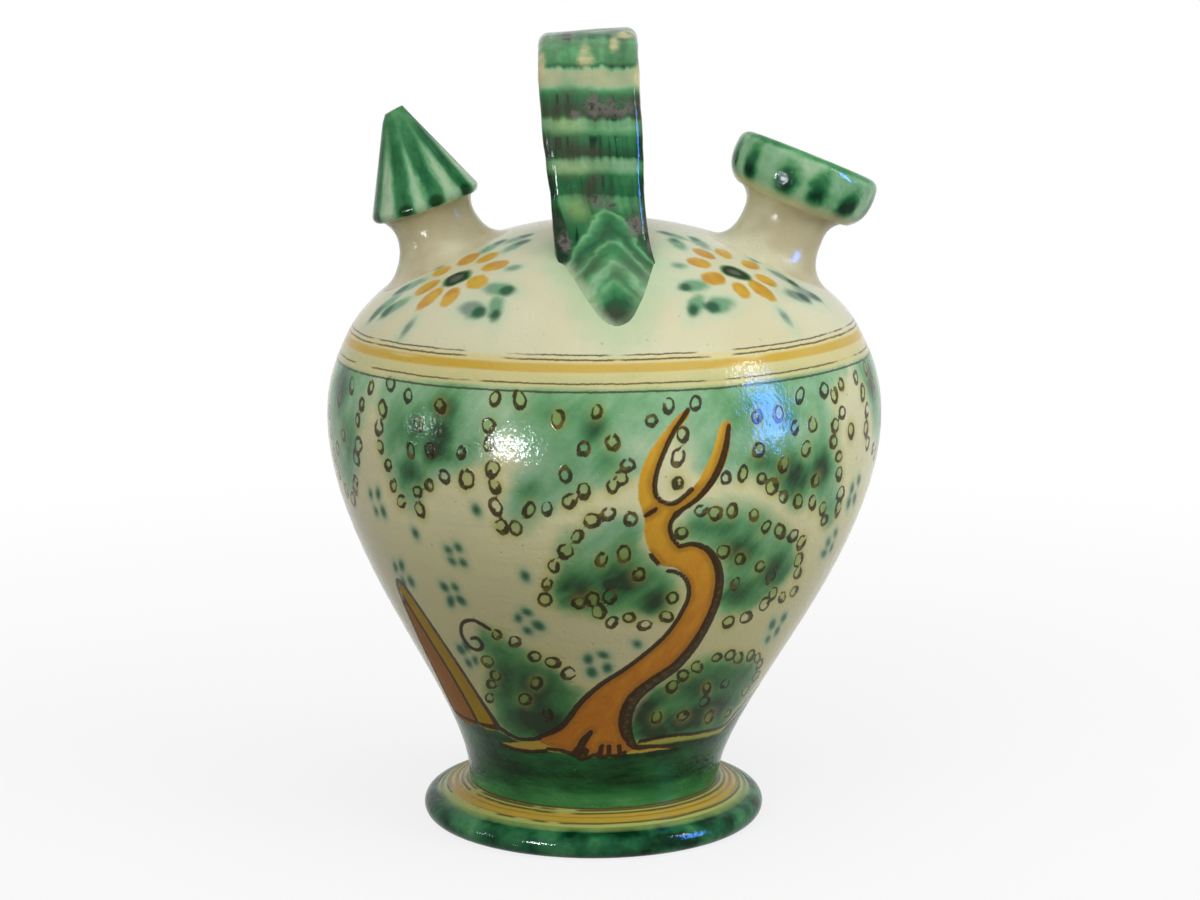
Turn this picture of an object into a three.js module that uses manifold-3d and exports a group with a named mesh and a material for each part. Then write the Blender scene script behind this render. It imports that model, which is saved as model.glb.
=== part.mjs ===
// Hand-thrown water pitcher with a strap handle over its top, a wide filling mouth on one side and
// a conical drinking spout on the other. Each thrown or pulled piece of clay is its own solid, and a
// thin line of slip is left between the pieces that a potter would lute together.
// Millimetres, +Z up. The origin is under the belly's axis, on the surface that the foot stands on.
// The filling mouth is at +X, the drinking spout at -X, and the handle arches from -Y to +Y.

import * as THREE from "three";
import { mergeVertices } from "three/addons/utils/BufferGeometryUtils.js";
import Module from "manifold-3d";

const wasm = await Module();
wasm.setup();

// Slip line between two luted pieces
const LUTE_GAP = 0.3;

// Foot plate
const FOOT_RADIUS = 62.5;
const FOOT_EDGE_RADIUS = 4.6;
const FOOT_EDGE_TURN = 80; // degrees of the edge's roll above its widest circle
const FOOT_TOP = 13.5;
const FOOT_SEAT_DEPTH = 1.5;
const FOOT_RECESS_RADIUS = 44;
const FOOT_RECESS_DEPTH = 2.5;
const FOOT_RECESS_BEVEL = 1.5;
const FOOT_LEAN = 4; // how far the belly stands off the middle of its foot

// Belly, from the foot plate to the seam at the shoulder
const WALL = 6;
const FLOOR = 8;
const FLOOR_FILLET = 6;
const WAIST_RADIUS = 46;
const WAIST_RISE = 30.5; // length of the outline's upright start
const BELLY_RADIUS = 100;
const BELLY_HEIGHT = 150;
const BELLY_DROP = 52; // length of the outline's upright stretch below the widest circle
const BELLY_RISE = 12.6; // and above it
const SHOULDER_RADIUS = 92;
const SHOULDER_HEIGHT = 180;
const SHOULDER_SLOPE = 63; // degrees above level, where the two thrown sections meet
const SHOULDER_EASE = 10.4;
const SEAM_REBATE = 4;

// Domed top
const APEX_HEIGHT = 220.3;
const DOME_EASE = 24.5; // length of the outline's steep start
const DOME_CROWN = 38; // radius of the outline's level end

// Filling mouth: neck, luting coil and rolled collar
const FILLER_OFFSET = 59.6; // from the belly's axis to where the neck's axis meets the dome
const FILLER_TILT = 22;
const FILLER_NECK_RADIUS = 15.2;
const FILLER_BORE_RADIUS = 11;
const FILLER_NECK_LENGTH = 20.3;
const FILLER_NECK_FLARE = 4.6; // how far the neck widens under its collar
const FILLER_COIL_SPREAD = 10;
const FILLER_COIL_HEIGHT = 11;
const COLLAR_RADIUS = 26.5;
const COLLAR_HEIGHT = 18;
const COLLAR_RIM = 6.5; // thickness of the mouth's lip
const COLLAR_ROLL = 2.6;
const COLLAR_UNDERCUT = 5; // how far the roll draws in above the neck
const COLLAR_LIFT = 1.9; // how much higher the lip stands in front than at its sides

// Drinking spout: neck, luting coil and cone
const SPOUT_OFFSET = 58;
const SPOUT_TILT = 18.5;
const SPOUT_NECK_RADIUS = 14.6;
const SPOUT_BORE_RADIUS = 9;
const SPOUT_NECK_LENGTH = 17.2;
const SPOUT_NECK_FLARE = 2.4;
const SPOUT_COIL_SPREAD = 11;
const SPOUT_COIL_HEIGHT = 9.5;
const CONE_RADIUS = 19.8;
const CONE_HEIGHT = 37.6;
const CONE_SKIRT_ROLL = 2.4;
const CONE_SKIRT_TURN = 20; // degrees of the skirt's roll above its widest circle
const CONE_TIP_RADIUS = 3.8;
const DRINK_BORE_RADIUS = 2.4;

// Both necks end in a spigot that their collar or cone is pushed over
const SPIGOT_LENGTH = 4;
const NECK_FLARE_RISE = 6; // height of the flare that carries the collar or cone
const COIL_TOE = 4; // how far a coil's outer edge reaches below the middle of its seat
const COIL_LIP = 0.8;

// Strap handle and the tongues that its ends are smeared into
const HANDLE_WIDTH = 35;
const HANDLE_THICKNESS = 10;
const HANDLE_EDGE_RADIUS = 3.6;
const HANDLE_CROWN_HEIGHT = 286.5;
const HANDLE_ROOT = 32; // from the belly's axis to the middle of the strap's root
const HANDLE_BULGE = 13; // how far the strap swings out above its root
const HANDLE_RISE = 44; // length of the strap's upright stretch
const HANDLE_CROWN_REACH = 30; // length of the strap's level stretch, each side of its crown
const HANDLE_ROOT_SHIFT = 2.6; // how far the strap's roots stand off the belly's axis, towards the drinking spout
const HANDLE_LEAN = 5.8; // and its crown
const HANDLE_SINK = 12; // length of strap drawn below the dome before it is cut to its seat
const TONGUE_TIP = 81;
const TONGUE_TIP_SHIFT = 5;
const TONGUE_ROOT_THICKNESS = 9;
const TONGUE_TIP_THICKNESS = 1.6;

// Fineness of the round faces
const BODY_SEGMENTS = 56;
const NECK_SEGMENTS = 30;
const CURVE_STEPS = 8;
const HANDLE_STEPS = 24;
const CORNER_STEPS = 3;

const point = (radius, height) => new THREE.Vector2(radius, height);
const radians = THREE.MathUtils.degToRad;

// Closed geometry to solid, and back.
function solidOf(geometry) {
  const bare = geometry.index ? geometry.toNonIndexed() : geometry.clone();
  bare.deleteAttribute("normal");
  bare.deleteAttribute("uv");
  const merged = mergeVertices(bare);
  return new wasm.Manifold(
    new wasm.Mesh({
      numProp: 3,
      vertProperties: merged.attributes.position.array,
      triVerts: new Uint32Array(merged.index.array),
    }),
  );
}

function geometryOf(solid) {
  const mesh = solid.getMesh();
  const geometry = new THREE.BufferGeometry();
  geometry.setAttribute("position", new THREE.BufferAttribute(mesh.vertProperties, 3));
  geometry.setIndex(new THREE.BufferAttribute(mesh.triVerts, 1));
  geometry.computeVertexNormals();
  return geometry;
}

// Solid turned about +Z. The profile runs anticlockwise in radius and height, so its faces point out.
function turned(profile, segments) {
  const geometry = new THREE.LatheGeometry(profile, segments);
  geometry.rotateX(Math.PI / 2);
  return solidOf(geometry);
}

// Points of a round corner about a centre, from one angle to another in degrees.
function corner(centreRadius, centreHeight, radius, from, to) {
  const start = radians(from);
  const end = radians(to);
  return new THREE.ArcCurve(centreRadius, centreHeight, radius, start, end).getPoints(CORNER_STEPS);
}

// The same curve moved sideways: to the left of its direction by a positive distance.
function offsetPoints(curve, distance, from = 0, to = 1) {
  const points = [];
  for (let step = 0; step <= CURVE_STEPS; step += 1) {
    const share = from + ((to - from) * step) / CURVE_STEPS;
    const along = curve.getTangent(share);
    const left = point(-along.y, along.x);
    points.push(curve.getPoint(share).addScaledVector(left, distance));
  }
  return points;
}

// Outline of the body: three curves that share their tangents where they meet
const shoulder = point(SHOULDER_RADIUS, SHOULDER_HEIGHT);
const shoulderUp = point(-Math.cos(radians(SHOULDER_SLOPE)), Math.sin(radians(SHOULDER_SLOPE)));
const shoulderIn = point(-shoulderUp.y, shoulderUp.x);

const lowerCurve = new THREE.CubicBezierCurve(
  point(WAIST_RADIUS, FOOT_TOP),
  point(WAIST_RADIUS, FOOT_TOP + WAIST_RISE),
  point(BELLY_RADIUS, BELLY_HEIGHT - BELLY_DROP),
  point(BELLY_RADIUS, BELLY_HEIGHT),
);
const upperCurve = new THREE.CubicBezierCurve(
  point(BELLY_RADIUS, BELLY_HEIGHT),
  point(BELLY_RADIUS, BELLY_HEIGHT + BELLY_RISE),
  shoulder.clone().addScaledVector(shoulderUp, -SHOULDER_EASE),
  shoulder,
);
const domeCurve = new THREE.CubicBezierCurve(
  shoulder,
  shoulder.clone().addScaledVector(shoulderUp, DOME_EASE),
  point(DOME_CROWN, APEX_HEIGHT),
  point(0, APEX_HEIGHT),
);

// Height of the dome's outside at a radius.
function domeHeight(radius) {
  let low = 0;
  let high = 1;
  for (let halving = 0; halving < 40; halving += 1) {
    const middle = (low + high) / 2;
    if (domeCurve.getPoint(middle).x > radius) low = middle;
    else high = middle;
  }
  return domeCurve.getPoint(low).y;
}

// A point of the shoulder seam: so far into the wall, and so far along the outline.
function seamPoint(inwards, upwards) {
  return shoulder.clone().addScaledVector(shoulderIn, inwards).addScaledVector(shoulderUp, upwards);
}

// Filled block under the dome's outside, raised by some clearance, to cut what is luted onto it.
function domeBlock(raise) {
  const bottom = SHOULDER_HEIGHT - BELLY_RISE;
  const raised = offsetPoints(domeCurve, -raise);
  raised[raised.length - 1].x = 0;
  return turned([point(0, bottom), point(raised[0].x, bottom), ...raised], BODY_SEGMENTS);
}

const lutingBlock = domeBlock(LUTE_GAP);

// Foot plate: a thick disc with a rolled edge, a shallow seat on top and a turned recess below
function makeFootPlate() {
  const seat = WAIST_RADIUS + LUTE_GAP;
  const edge = FOOT_RADIUS - FOOT_EDGE_RADIUS;
  const profile = [
    point(0, FOOT_RECESS_DEPTH),
    point(FOOT_RECESS_RADIUS, FOOT_RECESS_DEPTH),
    point(FOOT_RECESS_RADIUS + FOOT_RECESS_BEVEL, 0),
    ...corner(edge, FOOT_EDGE_RADIUS, FOOT_EDGE_RADIUS, -90, 0),
    ...corner(edge, FOOT_EDGE_RADIUS, FOOT_EDGE_RADIUS, 0, FOOT_EDGE_TURN).slice(1),
    point(seat + FOOT_SEAT_DEPTH, FOOT_TOP),
    point(seat, FOOT_TOP),
    point(seat, FOOT_TOP - FOOT_SEAT_DEPTH),
    point(0, FOOT_TOP - FOOT_SEAT_DEPTH),
  ];
  return turned(profile, BODY_SEGMENTS);
}

// Belly: a thrown wall that swings off the middle of its foot, with a flat floor
function makeBelly() {
  const base = FOOT_TOP - FOOT_SEAT_DEPTH + LUTE_GAP;
  const floorTop = base + FLOOR;
  const rebateStart = 1 - SEAM_REBATE / upperCurve.getLength();
  const innerUpper = offsetPoints(upperCurve, WALL, 0, rebateStart).slice(0, -1);
  const innerLower = offsetPoints(lowerCurve, WALL).filter((p) => p.y > floorTop + FLOOR_FILLET);
  const innerFoot = innerLower[0];
  const profile = [
    point(0, base),
    point(WAIST_RADIUS, base),
    ...offsetPoints(lowerCurve, 0),
    ...offsetPoints(upperCurve, 0).slice(1),
    seamPoint(WALL / 2, 0),
    seamPoint(WALL / 2, -SEAM_REBATE),
    seamPoint(WALL, -SEAM_REBATE),
    ...innerUpper.reverse(),
    ...innerLower.slice(0, -1).reverse(),
    point(innerFoot.x - FLOOR_FILLET, floorTop),
    point(0, floorTop),
  ];
  return turned(profile, BODY_SEGMENTS).warp(leanOverFoot);
}

// Moves a point of the belly sideways, more and more towards the foot.
function leanOverFoot(vertex) {
  const drop = Math.min(Math.max((BELLY_HEIGHT - vertex[2]) / (BELLY_HEIGHT - FOOT_TOP), 0), 1);
  vertex[0] -= FOOT_LEAN * drop * drop;
}

// Dome: closes the body, with a spigot inside the belly's rebate and a hole under each neck
function makeDome(filler, spout) {
  const inner = offsetPoints(domeCurve, WALL);
  inner[inner.length - 1].x = 0;
  const outer = offsetPoints(domeCurve, 0);
  const profile = [
    seamPoint(WALL / 2 + LUTE_GAP, LUTE_GAP),
    seamPoint(0, LUTE_GAP),
    ...outer.slice(1),
    ...inner.slice(1).reverse(),
    seamPoint(WALL, LUTE_GAP - SEAM_REBATE),
    seamPoint(WALL / 2 + LUTE_GAP, LUTE_GAP - SEAM_REBATE),
  ];
  profile.push(profile[0].clone());
  const drill = (seat, radius) => {
    const reach = 4 * WALL;
    const side = [point(0, -reach), point(radius, -reach), point(radius, reach), point(0, reach)];
    return turned(side, NECK_SEGMENTS).transform(seat.matrix.elements);
  };
  const holes = drill(filler, FILLER_BORE_RADIUS).add(drill(spout, SPOUT_BORE_RADIUS));
  return turned(profile, BODY_SEGMENTS).subtract(holes);
}

// Seat of a neck: a group whose origin is on the dome and whose +Z is the neck's axis.
function neckSeat(offset, tilt) {
  const seat = new THREE.Group();
  seat.position.set(offset, 0, domeHeight(Math.abs(offset)));
  seat.rotation.y = radians(tilt);
  seat.updateMatrix();
  return seat;
}

// Takes the dome away from a solid that is drawn in the seat's own frame.
function cutToDome(solid, seat) {
  return solid.subtract(lutingBlock.transform(seat.matrix.clone().invert().elements));
}

// Neck: a thrown tube, cut below to the dome, that flares under its collar or cone and ends in a spigot.
function makeNeck(seat, radius, bore, length, flare) {
  const bottom = -2 * COIL_TOE;
  const top = length + SPIGOT_LENGTH;
  const ledge = length - LUTE_GAP;
  const hollow = new THREE.QuadraticBezierCurve(
    point(radius, ledge - NECK_FLARE_RISE),
    point(radius, ledge),
    point(radius + flare, ledge),
  );
  const profile = [
    point(bore, bottom),
    point(radius, bottom),
    ...hollow.getPoints(CORNER_STEPS),
    point(radius, ledge),
    point(radius, top),
    point(bore, top),
  ];
  profile.push(profile[0].clone());
  return cutToDome(turned(profile, NECK_SEGMENTS), seat);
}

// Luting coil: a fillet of clay round a neck's root.
function makeLutingCoil(seat, neckRadius, spread, height) {
  const inside = neckRadius + LUTE_GAP;
  const bottom = -3 * COIL_TOE;
  const hollow = new THREE.QuadraticBezierCurve(
    point(inside + spread, -COIL_TOE),
    point(inside + COIL_LIP, -COIL_TOE / 2),
    point(inside + COIL_LIP, height),
  );
  const profile = [
    point(inside, bottom),
    point(inside + spread, bottom),
    ...hollow.getPoints(CURVE_STEPS),
    point(inside, height),
  ];
  profile.push(profile[0].clone());
  return cutToDome(turned(profile, NECK_SEGMENTS), seat);
}

// Collar: a rolled rim pushed over the filler neck's spigot, with a funnel down to the neck's bore
function makeCollar() {
  const socket = FILLER_NECK_RADIUS + LUTE_GAP;
  const socketTop = SPIGOT_LENGTH + LUTE_GAP;
  const mouth = COLLAR_RADIUS - COLLAR_RIM;
  const bulge = new THREE.CubicBezierCurve(
    point(COLLAR_RADIUS - COLLAR_UNDERCUT, 0),
    point(COLLAR_RADIUS, COLLAR_HEIGHT / 6),
    point(COLLAR_RADIUS + COLLAR_ROLL / 4, COLLAR_HEIGHT / 2),
    point(COLLAR_RADIUS, COLLAR_HEIGHT - COLLAR_ROLL),
  );
  const rollHeight = COLLAR_HEIGHT - COLLAR_ROLL;
  const profile = [
    point(socket, 0),
    ...bulge.getPoints(CURVE_STEPS),
    ...corner(COLLAR_RADIUS - COLLAR_ROLL, rollHeight, COLLAR_ROLL, 0, 90).slice(1),
    ...corner(mouth + COLLAR_ROLL, rollHeight, COLLAR_ROLL, 90, 180),
    point(FILLER_BORE_RADIUS, socketTop + SPIGOT_LENGTH),
    point(FILLER_BORE_RADIUS, socketTop),
    point(socket, socketTop),
  ];
  profile.push(profile[0].clone());
  return turned(profile, NECK_SEGMENTS).warp((vertex) => {
    const rise = Math.max(vertex[2] - socketTop, 0) / (COLLAR_HEIGHT - socketTop);
    vertex[2] -= (COLLAR_LIFT * rise * vertex[1]) / COLLAR_RADIUS;
  });
}

// Cone: a pointed hood over the spout neck's spigot, hollow and drawn in to the drinking bore
function makeCone() {
  const socket = SPOUT_NECK_RADIUS + LUTE_GAP;
  const socketTop = SPIGOT_LENGTH + LUTE_GAP;
  const skirt = CONE_RADIUS - CONE_SKIRT_ROLL;
  const throatStart = socketTop + SPIGOT_LENGTH / 2;
  const throatTop = CONE_HEIGHT - 2 * CONE_TIP_RADIUS;
  const profile = [
    point(socket, 0),
    ...corner(skirt, CONE_SKIRT_ROLL, CONE_SKIRT_ROLL, -90, CONE_SKIRT_TURN),
    point(CONE_TIP_RADIUS, CONE_HEIGHT - CONE_TIP_RADIUS / 4),
    point((CONE_TIP_RADIUS + DRINK_BORE_RADIUS) / 2, CONE_HEIGHT),
    point(DRINK_BORE_RADIUS, CONE_HEIGHT - CONE_TIP_RADIUS / 4),
    point(DRINK_BORE_RADIUS, throatTop),
    point(SPOUT_BORE_RADIUS, throatStart),
    point(SPOUT_BORE_RADIUS, socketTop),
    point(socket, socketTop),
  ];
  profile.push(profile[0].clone());
  return turned(profile, NECK_SEGMENTS);
}

// Section of the strap, grown by some clearance: a flat bar with round edges.
function strapSection(grow) {
  const halfWidth = HANDLE_WIDTH / 2 + grow;
  const halfThickness = HANDLE_THICKNESS / 2 + grow;
  const round = HANDLE_EDGE_RADIUS + grow;
  const across = halfWidth - round;
  const up = halfThickness - round;
  return new THREE.Shape([
    ...corner(across, up, round, 0, 90),
    ...corner(-across, up, round, 90, 180),
    ...corner(-across, -up, round, 180, 270),
    ...corner(across, -up, round, 270, 360),
  ]);
}

// Line of the strap from its front root over the crown to its rear root.
function strapLine() {
  const rootHeight = domeHeight(HANDLE_ROOT) - HANDLE_SINK;
  const crownHeight = HANDLE_CROWN_HEIGHT - HANDLE_THICKNESS / 2;
  const crown = new THREE.Vector3(-HANDLE_LEAN, 0, crownHeight);
  const swingHeight = rootHeight + HANDLE_SINK + HANDLE_RISE;
  const swingShift = (HANDLE_ROOT_SHIFT + HANDLE_LEAN) / 2;
  const half = (side) => [
    new THREE.Vector3(-HANDLE_ROOT_SHIFT, side * HANDLE_ROOT, rootHeight),
    new THREE.Vector3(-swingShift, side * (HANDLE_ROOT + HANDLE_BULGE), swingHeight),
    new THREE.Vector3(-HANDLE_LEAN, side * HANDLE_CROWN_REACH, crownHeight),
  ];
  const line = new THREE.CurvePath();
  line.add(new THREE.CubicBezierCurve3(...half(-1), crown));
  line.add(new THREE.CubicBezierCurve3(crown, ...half(1).reverse()));
  return line;
}

// Strap, grown by some clearance and not yet cut to the dome.
function strapBar(grow) {
  const options = { steps: HANDLE_STEPS, extrudePath: strapLine() };
  return solidOf(new THREE.ExtrudeGeometry(strapSection(grow), options));
}

function makeStrap() {
  return strapBar(0).subtract(lutingBlock);
}

// Tongue: an end of the strap, smeared down the dome to a leaf's point and thinner towards its tip. It is
// drawn in front and turned about the belly's axis to its own end.
function makeTongue(turn) {
  const root = HANDLE_ROOT + HANDLE_THICKNESS / 2;
  const shift = -HANDLE_ROOT_SHIFT * Math.cos(turn);
  const left = shift - HANDLE_WIDTH / 2;
  const right = shift + HANDLE_WIDTH / 2;
  const tipRound = TONGUE_TIP_THICKNESS * 2;
  const leaf = new THREE.Shape();
  leaf.moveTo(right, -root);
  leaf.lineTo(left, -root);
  leaf.lineTo(left, -HANDLE_ROOT - HANDLE_THICKNESS);
  leaf.quadraticCurveTo(
    left + TONGUE_TIP_SHIFT / 2,
    -(HANDLE_ROOT + TONGUE_TIP) / 2,
    TONGUE_TIP_SHIFT - tipRound,
    -TONGUE_TIP,
  );
  leaf.lineTo(TONGUE_TIP_SHIFT + tipRound, -TONGUE_TIP);
  leaf.quadraticCurveTo(
    right + TONGUE_TIP_SHIFT / 2,
    -(HANDLE_ROOT + TONGUE_TIP) / 2,
    right,
    -HANDLE_ROOT - HANDLE_THICKNESS,
  );
  const prism = new THREE.ExtrudeGeometry(leaf, {
    depth: APEX_HEIGHT + TONGUE_ROOT_THICKNESS,
    curveSegments: CURVE_STEPS,
    bevelEnabled: false,
  });
  prism.rotateZ(turn);
  return solidOf(prism).intersect(tongueLayer()).subtract(lutingBlock).subtract(strapBar(LUTE_GAP));
}

// Filled block under the tongue's upper face, which sweeps down the dome from its root to its tip.
function tongueLayer() {
  const bottom = SHOULDER_HEIGHT - BELLY_RISE;
  const outward = [];
  for (let step = 0; step <= CURVE_STEPS; step += 1) {
    const share = step / CURVE_STEPS;
    const radius = HANDLE_ROOT + (TONGUE_TIP - HANDLE_ROOT) * share;
    const fade = (1 - share) ** 2;
    const thickness = TONGUE_TIP_THICKNESS + (TONGUE_ROOT_THICKNESS - TONGUE_TIP_THICKNESS) * fade;
    outward.push(point(radius, domeHeight(radius) + LUTE_GAP + thickness));
  }
  const top = outward[0].y;
  const past = TONGUE_TIP + HANDLE_THICKNESS;
  const rim = point(past, domeHeight(past) + LUTE_GAP + TONGUE_TIP_THICKNESS);
  const profile = [point(0, bottom), point(past, bottom), rim, ...outward.reverse(), point(0, top)];
  return turned(profile, BODY_SEGMENTS);
}

// Glazes
const creamGlaze = new THREE.MeshStandardMaterial({ color: 0xd9d0b2, roughness: 0.18, metalness: 0 });
const paintedGlaze = new THREE.MeshStandardMaterial({ color: 0xc4c39d, roughness: 0.18, metalness: 0 });
const greenGlaze = new THREE.MeshStandardMaterial({ color: 0x3f8556, roughness: 0.16, metalness: 0 });

function piece(name, solid, material) {
  const mesh = new THREE.Mesh(geometryOf(solid), material);
  mesh.name = name;
  return mesh;
}

const pitcher = new THREE.Group();
pitcher.name = "water_pitcher";

const footPlate = piece("foot_plate", makeFootPlate(), greenGlaze);
footPlate.position.x = -FOOT_LEAN;
pitcher.add(footPlate);

const fillerSeat = neckSeat(FILLER_OFFSET, FILLER_TILT);
const spoutSeat = neckSeat(-SPOUT_OFFSET, -SPOUT_TILT);
pitcher.add(piece("belly", makeBelly(), paintedGlaze));
pitcher.add(piece("shoulder_dome", makeDome(fillerSeat, spoutSeat), creamGlaze));

const fillerNeck = makeNeck(
  fillerSeat,
  FILLER_NECK_RADIUS,
  FILLER_BORE_RADIUS,
  FILLER_NECK_LENGTH,
  FILLER_NECK_FLARE,
);
const fillerCoil = makeLutingCoil(fillerSeat, FILLER_NECK_RADIUS, FILLER_COIL_SPREAD, FILLER_COIL_HEIGHT);
const collar = piece("filler_collar", makeCollar(), greenGlaze);
collar.position.z = FILLER_NECK_LENGTH;
fillerSeat.add(piece("filler_neck", fillerNeck, creamGlaze));
fillerSeat.add(piece("filler_luting_coil", fillerCoil, creamGlaze));
fillerSeat.add(collar);
pitcher.add(fillerSeat);

const spoutNeck = makeNeck(
  spoutSeat,
  SPOUT_NECK_RADIUS,
  SPOUT_BORE_RADIUS,
  SPOUT_NECK_LENGTH,
  SPOUT_NECK_FLARE,
);
const spoutCoil = makeLutingCoil(spoutSeat, SPOUT_NECK_RADIUS, SPOUT_COIL_SPREAD, SPOUT_COIL_HEIGHT);
const cone = piece("spout_cone", makeCone(), greenGlaze);
cone.position.z = SPOUT_NECK_LENGTH;
spoutSeat.add(piece("spout_neck", spoutNeck, creamGlaze));
spoutSeat.add(piece("spout_luting_coil", spoutCoil, creamGlaze));
spoutSeat.add(cone);
pitcher.add(spoutSeat);

pitcher.add(piece("handle_strap", makeStrap(), greenGlaze));
pitcher.add(piece("handle_tongue_front", makeTongue(0), greenGlaze));
pitcher.add(piece("handle_tongue_rear", makeTongue(Math.PI), greenGlaze));

export default pitcher;
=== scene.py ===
import math
from collections import namedtuple

import bpy
import bmesh
import numpy as np
from mathutils import Matrix, Vector


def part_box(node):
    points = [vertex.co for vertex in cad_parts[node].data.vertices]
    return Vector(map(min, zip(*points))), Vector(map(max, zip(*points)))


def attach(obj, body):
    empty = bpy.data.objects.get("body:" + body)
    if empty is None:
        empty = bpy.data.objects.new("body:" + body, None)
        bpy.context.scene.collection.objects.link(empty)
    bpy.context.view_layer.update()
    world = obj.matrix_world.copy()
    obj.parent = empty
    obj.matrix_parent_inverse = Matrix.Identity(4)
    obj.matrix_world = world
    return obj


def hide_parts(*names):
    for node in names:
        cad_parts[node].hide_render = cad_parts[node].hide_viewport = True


# Hand-thrown, tin-glazed water pitcher. Sizes are millimetres until they become a mesh.
# Angles round the body are degrees from the front (-Y), positive towards the filling mouth (+X).
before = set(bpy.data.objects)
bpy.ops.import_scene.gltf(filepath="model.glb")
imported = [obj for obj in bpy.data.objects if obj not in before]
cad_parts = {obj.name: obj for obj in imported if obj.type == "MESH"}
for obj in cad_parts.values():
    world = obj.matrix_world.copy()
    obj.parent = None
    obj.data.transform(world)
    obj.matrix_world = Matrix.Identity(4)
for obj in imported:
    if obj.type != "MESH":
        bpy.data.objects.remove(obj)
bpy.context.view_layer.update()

MM = 0.001
FAR = 40.0  # stands for any place that a brush mark doesn't reach
SEED = 11
SHARP = 40  # degrees of bend above which an edge stays sharp

# Body outline
WALL = 6.0
FOOT_TOP = 13.5
FOOT_SEAT = 12.0
FOOT_LEAN = 4.0
WAIST_RADIUS = 46.0
WAIST_RISE = 30.5
BELLY_RADIUS = 100.0
BELLY_HEIGHT = 150.0
BELLY_DROP = 52.0
BELLY_RISE = 12.6
SHOULDER = np.array((92.0, 180.0))
SHOULDER_SLOPE = math.radians(63)
SHOULDER_UP = np.array((-math.cos(SHOULDER_SLOPE), math.sin(SHOULDER_SLOPE)))
SHOULDER_IN = np.array((-SHOULDER_UP[1], SHOULDER_UP[0]))
SHOULDER_EASE = 10.4
SEAM_REBATE = 4.0
APEX_HEIGHT = 220.3
DOME_EASE = 24.5
DOME_CROWN = 38.0
BASE_GAP = 0.3  # slip between the belly and the foot's seat
FLOOR = 8.0  # thickness of the belly's floor
FLOOR_CURVE = 14.0  # height over its base at which the inner wall turns to that floor
FLOOR_EASE = 6.0
RIB_PITCH = 7.0  # throwing rings

# Foot plate
FOOT_RADIUS = 62.5
FOOT_EDGE = 4.6
FOOT_RECESS = (44.0, 2.5, 1.5)  # radius, depth, bevel
FOOT_SLOPE = ((58.7, 9.13), (55.0, 10.6), (52.0, 11.8), (45.5, 14.2))  # from its edge up to its seat
TURNED_FROM = 48.2  # turned lines on that slope, by radius
TURNED_TO = 58.0
TURNED_START = 47.8
TURNED_PITCH = 2.7
TURNED_DEPTH = 0.28
BARE_RADIUS = 57.5  # bare clay under the foot
BARE_FADE = 1.5
BARE_HEIGHT = 0.9

# Filling mouth and drinking spout. A neck flares under its collar or cone, its coil is smeared up
# its wall and out over the dome, and its middle bows a little towards the handle.
Neck = namedtuple("Neck", "offset tilt radius bore length flare coil spread bow")
FILLER = Neck(59.6, 22.0, 15.2, 11.0, 20.3, 4.6, 12.0, 9.0, 0.0)
SPOUT = Neck(-58.0, -18.5, 14.4, 9.0, 17.2, 2.4, 15.5, 10.0, 0.8)
FLARE_RISE = 9.0
SPIGOT = 4.0
SPIGOT_TOP = 4.3  # top of the socket that a spigot stands in
SOCKET_WALL = 1.5
SOCKET_CHAMFER = (1.0, 0.6)  # width, height
SPIGOT_PLAY = 0.5
NECK_TUCK = 0.3  # how far a neck's wall reaches into its collar or cone
HOLE_ROOM = 1.2  # how much wider the dome's holes are than the bores over them
COIL_TOE = ((3.0, 2.4), (0.3, 0.5))  # how a coil's toe turns under: inwards, down
COLLAR_RADIUS = 26.5
COLLAR_HEIGHT = 18.0
COLLAR_ROUND = 4.0  # radius of its lip outside
COLLAR_ROLL = 2.4  # and inside
COLLAR_MOUTH = 20.0
COLLAR_UNDERCUT = 5.0
COLLAR_LIFT = 1.9  # how much higher the lip stands in front
COLLAR_BULGE = 0.65
COLLAR_THROAT = ((19.6, 14.0), (17.0, 11.0), (FILLER.bore + 0.8, 8.6), (FILLER.bore, 8.0))
COLLAR_DABS = 12
FIRST_DAB = 12.0  # degrees
CONE_RADIUS = 19.8
CONE_HEIGHT = 37.6
CONE_ROLL = 2.4
CONE_TIP = 3.8
CONE_FLANK = ((14.7, 13.8), (8.8, 25.9))  # handles of its curve
CONE_SHOULDER = 1.1  # how far its tip rounds over
CONE_STRIPES = 9
FIRST_STRIPE = -62.0  # degrees
DROP_LEVEL = 2.6  # dark drops at the ends of the stripes
DROP_HALF_WIDTH = 3.1
DROP_HALF_HEIGHT = 2.2
CHIP_DEPTH = 1.4
CHIP_REACH = 4.0
DRINK_BORE = 2.4

# Strap handle and its tongues
STRAP_WIDTH = 35.0
STRAP_THICKNESS = 10.0
STRAP_EDGE = 3.6
STRAP_CROWN = 286.5
STRAP_ROOT = 32.0
STRAP_ROOT_SHIFT = 0.2  # how far its roots stand off towards the filling mouth
STRAP_SWAY = 5.6  # how far its curve is drawn the other way as it rises
STRAP_BULGE = 13.0
STRAP_RISE = 44.0
STRAP_REACH = 30.0
STRAP_LEAN = 5.8
STRAP_SINK = 12.0
STRAP_KEPT_SINK = 4.0  # how much of the sink stays, inside the dome's wall
STRAP_TILT = 4.0  # degrees that the crown tips up towards the filling mouth
TONGUE_ROOT = 42.0
TONGUE_TIP = 82.0
TONGUE_START = -1.0  # where its middle starts, and how far its tip lies aside
TONGUE_SHIFT = 3.8
TONGUE_LEAVES = 42.5  # reach at which it leaves the strap for the dome
TONGUE_EASE = 9.5
TONGUE_DEPTH = 4.0
TONGUE_SINK = 2.0
TONGUE_EDGE_SINK = 0.4
CHEVRON_TOP = 226.0  # height above which the chevrons run straight up the strap
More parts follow.
